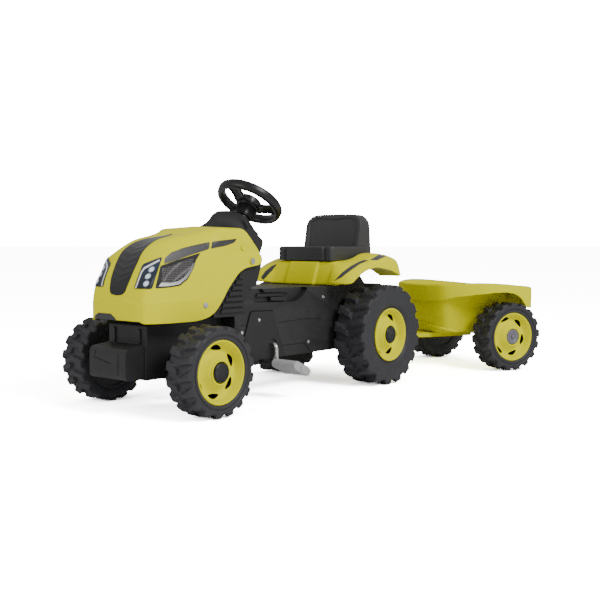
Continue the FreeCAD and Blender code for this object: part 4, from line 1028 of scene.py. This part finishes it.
PAN_CENTRE = Vector((12, 0, 0))
PAN_STEPS = [(3, 328.6), (0.8, 329.2), (0, 331), (0, 345), (0, 360.5), (0.6, 363.6), (2.2, 365.9),
             (4.6, 366.9), (9, 366.6), (15, 364.6), (32, 362.4), (60, 361)]
pan_rings = [[(p.x, p.y, z) for p in shrunk(pan_outline, inset, PAN_CENTRE)] for inset, z in PAN_STEPS]
pan = stack("seat_pan_form", pan_rings, SEAT_GREY)

back_half = [(0, 340), (60, 340), (97, 340), (98, 390), (98, 425), (93, 441), (76, 453.5), (40, 456),
             (0, 456.5)]
back_outline = rounded([(y, z, 0) for y, z in back_half[1:-1]] + [(-y, z, 0) for y,
                                                                  z in reversed(back_half[1:-1])],
                       [2, 6, 20, 14, 12, 12, 30, 30, 12, 12, 14, 20, 6, 2], 5)
BACK_CENTRE = Vector((0, 400, 0))
BACK_STEPS = [(16.5, 0.075), (15, 0.065), (13.4, 0.012), (12.6, 0), (4, 0), (1.4, 0.025), (0, 0.09),
              (0, 0.90), (1.4, 0.975), (4, 1), (12, 1)]


def back_point(p, depth):
    """A point of the seat back, which leans rearwards and thins towards its top."""
    front = along([(340, -10), (368, -16), (448, -31), (457, -35)], p.y)
    rear = along([(340, -74), (446, -64), (457, -60)], p.y)
    bow = 5 * (p.x / 98) ** 2
    return (front + bow * (1 - depth) + (rear - front) * depth, p.x, p.y)


back_rings = [[back_point(p, depth) for p in shrunk(back_outline, inset, BACK_CENTRE)] for inset,
              depth in BACK_STEPS]
backrest = stack("seat_back_form", back_rings, SEAT_GREY)
for piece in (pan, backrest):
    soften(piece, 0, smooth=36)
    finish_piece(piece, "seat", "charcoal_plastic", "seat_shell")

# ---------------------------------------------------------------- dash cowl
HINGE = Vector((436, 0, 334))
COWL_RADIUS = [(0, 97.5), (4, 97.5), (16, 89.5), (30, 83.5), (46, 78.5), (55, 75.5), (66, 73), (74, 72)]
HUMP_FRONT = [(0, 457), (4, 457), (16, 446), (30, 434), (46, 420), (55, 412), (66, 403), (74, 396)]
HUMP_TOP = [(0, 456), (18, 455.5), (34, 451), (46, 445), (56, 436), (66, 424), (74, 412)]
PEDESTAL = [(458, 376), (458, 388), (458, 399), (444, 402), (431, 404.5), (424, 408.5), (419, 412.4),
            (413, 411.5), (404, 406.5), (393, 400), (382, 392.5), (370.5, 385), (367, 377), (380, 350),
            (383, 345), (430, 345)]


def cowl_profile(y):
    """The (x, z) outline of the cowl at a distance from the middle plane."""
    if y > 74.5:
        return PEDESTAL
    radius = along(COWL_RADIUS, y) - 0.4
    front, top = along(HUMP_FRONT, y), along(HUMP_TOP, y)
    crossing = HINGE.z + math.sqrt(max(radius ** 2 - (front - HINGE.x) ** 2, 0))
    rise = max(top - crossing, 2)
    arc = [(HINGE.x + radius * math.cos(math.radians(a)), HINGE.z + radius * math.sin(math.radians(a)))
           for a in (47, 55, 63, 71)]
    low = (HINGE.x + 54 * math.cos(math.radians(46)), HINGE.z + 54 * math.sin(math.radians(46)))
    over = [(front, crossing + rise * 0.12), (front - 4 - rise * 0.25, crossing + rise * 0.62),
            (max(front - 14 - rise * 0.5, 402), top - rise * 0.06), (398, top), (384, top - 2.5),
            (372, top - 10), (364, max(top - 32, 402))]
    return [low] + arc + over + [(366, 388), (380, 350), (383, 345), (430, 345)]


cowl_levels = [0, 8, 16, 24, 32, 40, 48, 55, 62, 68, 72, 74.4, 76.5, 85, 92, 94, 95]
cowl_rings = []
for level in both_ways(cowl_levels):
    inset = {94: 0.8, 95: 2.4}.get(abs(level), 0)
    profile = rounded([(x, z, 0) for x, z in cowl_profile(abs(level))], 8, 3)
    middle = sum(profile, Vector()) / len(profile)
    cowl_rings.append([(p.x + (middle.x - p.x) * inset / 45, level, p.y + (middle.y - p.y) * inset / 45)
                       for p in profile])
cowl = stack("dash_cowl_form", cowl_rings, CHARCOAL)
STEER_TURN = Matrix.Translation(Vector((315, 0, 482)) * MM) @ Matrix.Rotation(math.radians(-34), 4, "Y")
TO_COLUMN = Matrix.Rotation(math.radians(90), 4, "X")


def column_cutter(name, radius, start, length):
    """A round cutter about the column's axis, measured down from the steering wheel's centre."""
    tool = turned(name, [(0.01, -start), (radius, -start), (radius, -start - length),
                         (0.01, -start - length)],
                  CHARCOAL, segments=40)
    tool.data.transform(STEER_TURN @ TO_COLUMN)
    return tool


carve(cowl, column_cutter("cowl_bore", 18.5, 14, 60), column_cutter("cowl_tunnel", 12.2, 60, 200))
soften(cowl, 0, smooth=40)
finish_piece(cowl, "chassis", "charcoal_plastic", "dash_cowl")

# ---------------------------------------------------------------- steering wheel
hub_section = [(15.4, 3.4), (16.6, 4.0), (27, 3.4), (29.4, 1.6), (30, -1), (30, -19), (28.4, -21.4),
               (24.6, -22.4), (24.4, -45), (22.6, -46.6), (22.4, -48.6), (20.4, -50), (17.4, -50.6),
               (17, -71), (16, -72), (6.1, -72), (6.1, -6), (15.4, -6)]
hub = turned("steering_wheel_form", hub_section, BLACK, segments=64, closed=True)
hub.data.transform(TO_COLUMN)
ring_points = []
RING_STEPS, TUBE_STEPS = 120, 20
for k in range(RING_STEPS):
    angle = 2 * math.pi * k / RING_STEPS
    for m in range(TUBE_STEPS):
        t = 2 * math.pi * m / TUBE_STEPS
        grip = 1 + 0.012 * math.cos(24 * angle) * ease(-math.sin(t), 0.2, 0.8)
        radial = 77 + 9.2 * grip * math.copysign(abs(math.cos(t)) ** 0.85, math.cos(t))
        ring_points.append((radial * math.cos(angle), radial * math.sin(angle),
                            (9.0 if math.sin(t) > 0 else 15.5) * grip
                            * math.copysign(abs(math.sin(t)) ** 0.85, math.sin(t))))
ring = place_object("wheel_ring", mesh_from("wheel_ring", ring_points,
                                            grid_faces(RING_STEPS, TUBE_STEPS, True, True)), BLACK)
wheel_parts = [ring]
for i in range(3):
    rings = []
    for k in range(9):
        share = k / 8
        radius = 22 + 52 * share
        width = 23 - 7 * math.sin(math.pi * share) + 3 * ease(share, 0.7, 1)
        drop = -12 + 9 * ease(share, 0.1, 1)
        thick = 5.4
        outline = rounded([(width, -thick, 0), (width, thick * 0.4, 0), (width * 0.72, thick, 0),
                           (-width * 0.72, thick, 0), (-width, thick * 0.4, 0), (-width, -thick, 0),
                           (-width * 0.5, -thick * 0.6, 0), (width * 0.5, -thick * 0.6, 0)], 2, 2)
        rings.append([(radius, p.x, p.y + drop) for p in outline])
    spoke = stack(f"spoke_{i}", rings, BLACK)
    spoke.data.transform(Matrix.Rotation(math.radians(120 * i), 4, "Z"))
    wheel_parts.append(spoke)
joined(hub, *wheel_parts)
hub.data.transform(STEER_TURN)
soften(hub, 0, smooth=36)
finish_piece(hub, "steering", "black_plastic", "steering_wheel")

# ---------------------------------------------------------------- trailer
HITCH = Vector((-165, 0, 0))
TO_TRAILER = Matrix.Translation(HITCH * MM) @ Matrix.Rotation(math.radians(TRAILER_YAW), 4, "Z")
TUB_CENTRE = Vector((-330, 0))
RIM_HALF = [(-184, 0), (-187, 60), (-202, 118), (-245, 162), (-300, 204), (-345, 212), (-456, 212),
            (-466, 203), (-467, 150), (-467, 100), (-467, 0)]
MIDDLE_HALF = [(-199, 0), (-200, 78), (-214, 110), (-250, 117), (-436, 117), (-453, 101), (-456, 0)]
HIGH_HALF = [(-193, 0), (-194, 84), (-208, 115), (-248, 123), (-440, 123), (-456, 108), (-461, 0)]
LOW_HALF = [(-224, 0), (-225, 58), (-238, 86), (-262, 96), (-412, 96), (-434, 84), (-440, 0)]
RIM_TOP = [(-470, 243), (-445, 247.5), (-405, 251), (-360, 255.5), (-320, 257), (-256, 256), (-180, 251)]
RIM_LOW = [(-470, 183), (-446, 183), (-439, 186), (-432, 194), (-419, 212), (-405, 221), (-390, 227),
           (-362, 231), (-320, 230.5), (-271, 224.5), (-229, 217), (-208, 209), (-188, 202)]


def whole(half):
    """A closed outline from its half on the +Y side."""
    return [Vector((x, y, 0)) for x, y in half] + [Vector((x, -y, 0)) for x, y in reversed(half[1:-1])]


def star(outline, angles, smooth_radius):
    """Where rays from the tub's centre cross an outline."""
    border = rounded(outline, smooth_radius, 5)
    made = []
    for angle in angles:
        ray = Vector((math.cos(angle), math.sin(angle)))
        best = None
        for a, b in zip(border, border[1:] + border[:1]):
            p, q = a.to_2d() - TUB_CENTRE, b.to_2d() - TUB_CENTRE
            across_p, across_q = ray.cross(p), ray.cross(q)
            if across_p * across_q <= 0 and across_p != across_q:
                spot = p.lerp(q, across_p / (across_p - across_q))
                if spot.dot(ray) > 0:
                    best = spot.dot(ray)
        made.append(TUB_CENTRE + ray * best)
    return made


TUB_STEPS = 220
tub_angles = [2 * math.pi * (k + 0.5) / TUB_STEPS for k in range(TUB_STEPS)]
rim_line = star(whole(RIM_HALF), tub_angles, 22)
high_line = star(whole(HIGH_HALF), tub_angles, 20)
middle_line = star(whole(MIDDLE_HALF), tub_angles, 20)
low_line = star(whole(LOW_HALF), tub_angles, 20)


def towards(line, share):
    """A line scaled towards the tub's centre."""
    return [TUB_CENTRE + (p - TUB_CENTRE) * share for p in line]


def inset_line(line, amount):
    """A line moved towards the tub's centre by an amount."""
    return [p - (p - TUB_CENTRE).normalized() * amount for p in line]


def blend(first, second, share):
    """A line between two others."""
    return [a.lerp(b, share) for a, b in zip(first, second)]


def at_level(line, level):
    """A line in the plane lifted to a level, which may be a function of the point."""
    return [(p.x, p.y, level(p) if callable(level) else level) for p in line]


def rim_top(offset):
    """The level of the rim's upper face, plus an offset."""
    return lambda p: along(RIM_TOP, p.x) + offset


def rim_low(offset):
    """The level of the rim's lower edge, plus an offset."""
    return lambda p: along(RIM_LOW, p.x) + offset


def tub_ring(line, inset, level):
    """One ring of the tub: a line moved inwards, at a level that may follow the rim."""
    return at_level(inset_line(line, inset), level)


def brim(share):
    """A line between the tub's upper edge and its rim."""
    return blend(high_line, rim_line, share)


def rim_middle(p):
    """Half-way up the rim's outer face."""
    return along(RIM_LOW, p.x) * 0.5 + along(RIM_TOP, p.x) * 0.5


# from the middle of the floor up the inside, over the rim and down the outside
floor_line = towards(low_line, 0.3)
tub_rings = [
    tub_ring(floor_line, 0, 113.5), tub_ring(low_line, 12, 113.5), tub_ring(low_line, 6, 115.5),
    tub_ring(low_line, 3.6, 121), tub_ring(middle_line, 3.4, 200), tub_ring(high_line, 3.4, 240),
    tub_ring(high_line, 2.4, rim_top(-5)), tub_ring(high_line, 1.0, rim_top(-1.6)),
    tub_ring(brim(0.12), 0, rim_top(-0.4)), tub_ring(brim(0.5), 0, rim_top(0.2)),
    tub_ring(rim_line, 5.5, rim_top(0.2)), tub_ring(rim_line, 2.6, rim_top(-0.5)),
    tub_ring(rim_line, 0.8, rim_top(-2.2)), tub_ring(rim_line, 0, rim_top(-5)),
    tub_ring(rim_line, 0, rim_middle), tub_ring(rim_line, 0, rim_low(1.6)),
    tub_ring(rim_line, 0.9, rim_low(0.2)), tub_ring(rim_line, 2.8, rim_low(0.2)),
    tub_ring(rim_line, 3.6, rim_low(1.6)), tub_ring(rim_line, 3.8, rim_top(-8)),
    tub_ring(rim_line, 7, rim_top(-4.6)), tub_ring(brim(0.35), 0, rim_top(-4.2)),
    tub_ring(brim(0.04), 0, rim_top(-6)), tub_ring(middle_line, 0, 200),
    tub_ring(blend(middle_line, low_line, 0.5), 0, 155), tub_ring(low_line, -1.2, 114),
    tub_ring(low_line, 1.5, 109), tub_ring(low_line, 6, 107.3), tub_ring(floor_line, 0, 107.2)]
tub = stack("trailer_tub_form", tub_rings, LIME_TUB)
tub.data.transform(TO_TRAILER)
soften(tub, 0, smooth=40)
finish_piece(tub, "trailer", "lime_plastic", "trailer_tub")
# a raised lip that runs from the drawbar round the lower front of the tub
lip_points = []
for k in range(37):
    share = k / 18 - 1
    angle = share * 1.02
    index = round(angle / (2 * math.pi) * TUB_STEPS - 0.5) % TUB_STEPS
    lift = 22 * (1 - min(abs(share) * 1.05, 1)) ** 0.8
    base = low_line[index].lerp(middle_line[index], (lift + 6) / 93)
    lip_points.append((base, 113 + lift, angle))
lip_rings = []
for base, level, angle in lip_points:
    out = Vector((math.cos(angle), math.sin(angle)))
    lip_rings.append([(base.x + out.x * d, base.y + out.y * d, level + h) for d, h in
                      ((-3, -5), (3.2, -4.4), (5.2, -3), (5.6, 0), (4.4, 2.4), (2, 3), (-3, 3.2))])
lip = stack("trailer_lip", lip_rings, LIME_TUB)
lip.data.transform(TO_TRAILER)
soften(lip, 0, smooth=40)
finish_piece(lip, "trailer", "lime_plastic")

# ---------------------------------------------------------------- chassis and nose
CHASSIS_SIDE = [(-110, 262), (-110, 112), (-92, 95.5), (476, 95.5), (480, 100), (480, 206), (548, 206.5),
                (548, 225), (472, 310), (432, 344), (384, 344), (388, 322), (409, 266)]
CHASSIS_VOID = [(-105, 257), (-105, 80), (475, 80), (475, 211), (543, 211), (543, 223), (470, 305),
                (428, 340), (388, 340), (393, 322), (416, 259)]
CHASSIS_HALF = 105
CRANK = Vector((349, 0, 130))
chassis = slab("chassis_form", CHASSIS_SIDE, -CHASSIS_HALF, CHASSIS_HALF, 4, 2)
carve(chassis, prism("chassis_void", CHASSIS_VOID, "y", -100, 100, CHARCOAL))
RECESS = [(428, 274), (430, 250), (414, 234), (261, 230), (235, 241), (209, 264)]
LINER = [(434, 262), (436, 248), (417, 227), (259, 223), (230, 236), (200, 262)]
COVER = [(302, 96), (440, 96), (450, 150), (426, 213), (350, 211), (320, 132)]
COVER_GAP = [(299, 94), (443, 94), (452.4, 150), (427.8, 215.4), (348.4, 213.4), (317.4, 132.6)]
for sign in (1, -1):
    liner = prism("recess_liner", LINER, "y", *sided(sign, 86, 101), CHARCOAL)
    modify(chassis, "BOOLEAN", object=liner, operation="UNION", solver="EXACT")
    bake(chassis)
    bpy.data.objects.remove(liner)


def side_cutter(sign, name, outline, depth, radius=0):
    """A cutter that sinks an outline into one side of the chassis."""
    return slab(name, outline, *sided(sign, CHASSIS_HALF - depth, CHASSIS_HALF + 3), radius, 3)


SEAMS = {
    "seam_upper": [(327, 181), (225, 185), (162, 180), (162, 178.4), (225, 183.2), (327, 179.2)],
    "seam_lower": [(330, 124), (225, 123), (202, 99), (204, 98), (226, 121.2), (330, 122.2)],
    "seam_front": [(462, 184), (434, 182), (434, 180.4), (462, 182.2)],
    "seam_rear": [(430, 126), (476, 128), (476, 126.4), (430, 124.4)]}
for sign in (1, -1):
    carve(chassis, side_cutter(sign, "recess", RECESS, 15, 12),
          side_cutter(sign, "cover_gap", COVER_GAP, 2.6, 6),
          *(side_cutter(sign, name, outline, 1.6) for name, outline in SEAMS.items()))


def round_hole(name, radius, x, z):
    """A round cutter along Y."""
    tool = turned(name, [(0.01, -130), (radius, -130), (radius, 130), (0.01, 130)], CHARCOAL, segments=32)
    tool.data.transform(Matrix.Translation(Vector((x, 0, z)) * MM))
    return tool


carve(chassis, round_hole("axle_hole", 12.1, 0, 133), round_hole("crank_hole", 12.1, CRANK.x, CRANK.z),
          column_cutter("column_tunnel", 12.2, 60, 300))
soften(chassis, 0.8, 2, angle=40, smooth=32)
finish_piece(chassis, "chassis", "charcoal_plastic", "chassis_shell")

RECESS_STEPS = [
    ([(290, 233), (350, 236), (350, 245), (290, 243)], 8),
    ([(280, 254), (372, 257), (380, 266), (272, 264)], 7),
    ([(300, 245), (396, 247), (390, 254), (296, 252)], 3)]
PANEL = [(449, 213), (538, 213), (538, 227), (474, 299), (449, 316)]
PANEL_FRONT = [(213, 536), (227, 534), (299, 472)]
for side, sign in (("left", 1), ("right", -1)):
    # raised steps inside the recess, like the lid of a tool box
    for i, (outline, proud) in enumerate(RECESS_STEPS):
        step = slab(f"{side}_step_{i}", outline, *sided(sign, 89, 94 + proud), 2)
        soften(step, 0.9, 2)
        finish_piece(step, "chassis", "charcoal_plastic")
    boss_low, boss_high = sided(sign, 99.5, 113)
    boss = turned(f"{side}_hinge_boss", [(4.1, boss_low), (11, boss_low), (12, boss_low + 1), (12,
                                                                                               boss_high - 1),
                                         (11, boss_high), (4.1, boss_high)], CHARCOAL, segments=40,
                                         closed=True)
    boss.data.transform(Matrix.Translation(HINGE * MM))
    soften(boss, 0, smooth=36)
    finish_piece(boss, "chassis", "charcoal_plastic")
    # crank cover
    cover = slab(f"{side}_cover_form", COVER, *sided(sign, 102, 107.5), 5)
    carve(cover, round_hole("cover_hole", 13.1, CRANK.x, CRANK.z))
    soften(cover, 1.2, 2, smooth=32)
    finish_piece(cover, "chassis", "charcoal_plastic", f"{side}_crank_cover")
    # louvred engine panel
    pieces = [slab(f"{side}_panel_form", PANEL, *sided(sign, CHASSIS_HALF, 106.4), 4)]
    for i in range(7):
        z = 216 + 13 * i
        reach = along(PANEL_FRONT, z) - 5
        louvre = [(454, z), (reach, z), (reach - 5, z + 8.6), (454, z + 8.6)]
        pieces.append(slab(f"{side}_louvre_{i}", louvre, *sided(sign, 106, 111 + 0.8 * (i % 2)), 1.6, 2))
    louvres = joined(*pieces)
    soften(louvres, 0.5, 2, smooth=32)
    finish_piece(louvres, "chassis", "charcoal_plastic", *once(side, "engine_side_panels"))

# x, z and the distance of the face that each screw sits on
SCREWS = [(455, 165, CHASSIS_HALF), (398, 192, 107.5), (150, 236, CHASSIS_HALF), (210, 124, CHASSIS_HALF)]
SCREW_HEAD = [(0.01, 1.0), (1.6, 1.0), (2.2, 1.9), (3.6, 1.6), (4.4, 0.6), (4.4, -2.5)]
for side, sign in (("left", 1), ("right", -1)):
    for i, (x, z, face) in enumerate(SCREWS):
        screw = button(f"{side}_screw_{i}", SCREW_HEAD, STEEL, (x, sign * face, z), sign, 28)
        finish_piece(screw, "chassis", "steel", *(once(side, "chassis_screws") if i == 0 else []))

NOSE_SIDE = [(481, 128), (648, 128), (657, 77), (717, 77), (717.5, 154), (712, 155), (712, 199), (481, 206)]
nose_block = slab("nose_frame_form", NOSE_SIDE, -65, 65, [3, 6, 4, 4, 3, 3, 6, 3])
carve(nose_block,
          prism("nose_void", [(485, 110), (612, 110), (612, 134), (706, 134), (706, 194), (485, 200)], "y",
                -60, 60, CHARCOAL),
          column_cutter("nose_tunnel", 12.2, 300, 150))
soften(nose_block, 3.0, 3, angle=50, smooth=36)
finish_piece(nose_block, "chassis", "charcoal_plastic", "nose_frame")
for sign in (1, -1):
    brace = slab("nose_brace", [(708, 192), (716, 188), (716, 158), (708, 154)], *sided(sign, 40, 46), 2, 2)
    soften(brace, 0.8, 2)
    finish_piece(brace, "chassis", "charcoal_plastic")

WEIGHT_SIDE = [(718, 80.5), (763, 80.5), (770, 87), (769, 143), (763, 150), (718, 155)]
weight = slab("front_weight_form", WEIGHT_SIDE, -62, 62, [2, 6, 6, 6, 6, 2], 4)
carve(weight,
          prism("weight_groove", [(-46, 126), (-41, 142), (-39.6, 141), (-44, 127.2), (14, 116.4),
                                  (14, 114.8)], "x",
                767, 775, CHARCOAL),
          prism("weight_channel", [(36, 90), (38, 90), (38, 140), (36, 140)], "x", 767.5, 775, CHARCOAL))
soften(weight, 3.2, 3, angle=50, smooth=36)
finish_piece(weight, "chassis", "charcoal_plastic", "front_weight")

# ---------------------------------------------------------------- pedals
PEDAL_SIDE = [(-33, -3), (-26, -11), (24, -11), (32, -5), (32, 4), (24, 11), (-24, 11), (-33, 6)]
GRIP = [(-2.6, 10.2), (-1.6, 12), (1.6, 12), (2.6, 10.2)]
for side, sign, level in (("left", 1, 78), ("right", -1, 182)):
    start, end = sided(sign, 130, 202)
    block = slab(f"{side}_pedal_form", PEDAL_SIDE, start, end, 3, 3, GREY)
    grips = [prism(f"{side}_grip", [(spot + x, face * z) for x, z in GRIP], "y", start + 5, end - 5, GREY)
             for face in (1, -1) for spot in (-18, -9, 0, 9, 18)]
    joined(block, *grips)
    bore = turned("bore", [(0.01, -230), (6.1, -230), (6.1, 230), (0.01, 230)], GREY, segments=24)
    carve(block, bore)
    block.data.transform(Matrix.Translation(Vector((CRANK.x, 0, level)) * MM)
                         @ Matrix.Rotation(math.radians(-25), 4, "Y"))
    soften(block, 1.4, 2, angle=30, smooth=30)
    finish_piece(block, f"{side}_pedal", "grey_plastic", f"{side}_pedal")

# ---------------------------------------------------------------- pieces kept from the frame
FINISHES = {
    STEEL: ["left_kingpin", "right_kingpin", "left_stub_axle", "right_stub_axle", "tie_rod",
            "steering_column", "pedal_crank", "rear_axle", "trailer_axle", "crank_sprocket",
            "axle_sprocket", "drive_chain", "hitch_pin", "bonnet_hinge_screws"],
    BLACK: ["horn_button", "column_bushes", "axle_bushes"],
    CHARCOAL: ["engine_block", "front_axle_beam", "hitch_bracket", "left_steering_knuckle",
               "right_steering_knuckle"],
    LIME_TUB: ["trailer_drawbar", "trailer_axle_brackets"]}
for finish, names in FINISHES.items():
    for name in names:
        for item in [o for o in bpy.data.objects if o.name.split(".")[0] == name and o.type == "MESH"]:
            if not item.material_slots:
                item.data.materials.append(finish)
            for slot in item.material_slots:
                slot.link = "OBJECT"
                slot.material = finish
            modify(item, "WELD", merge_threshold=0.00001)
            modify(item, "BEVEL", width=0.0006, segments=2, limit_method="ANGLE",
                   angle_limit=math.radians(40))
            modify(item, "WEIGHTED_NORMAL", keep_sharp=True)
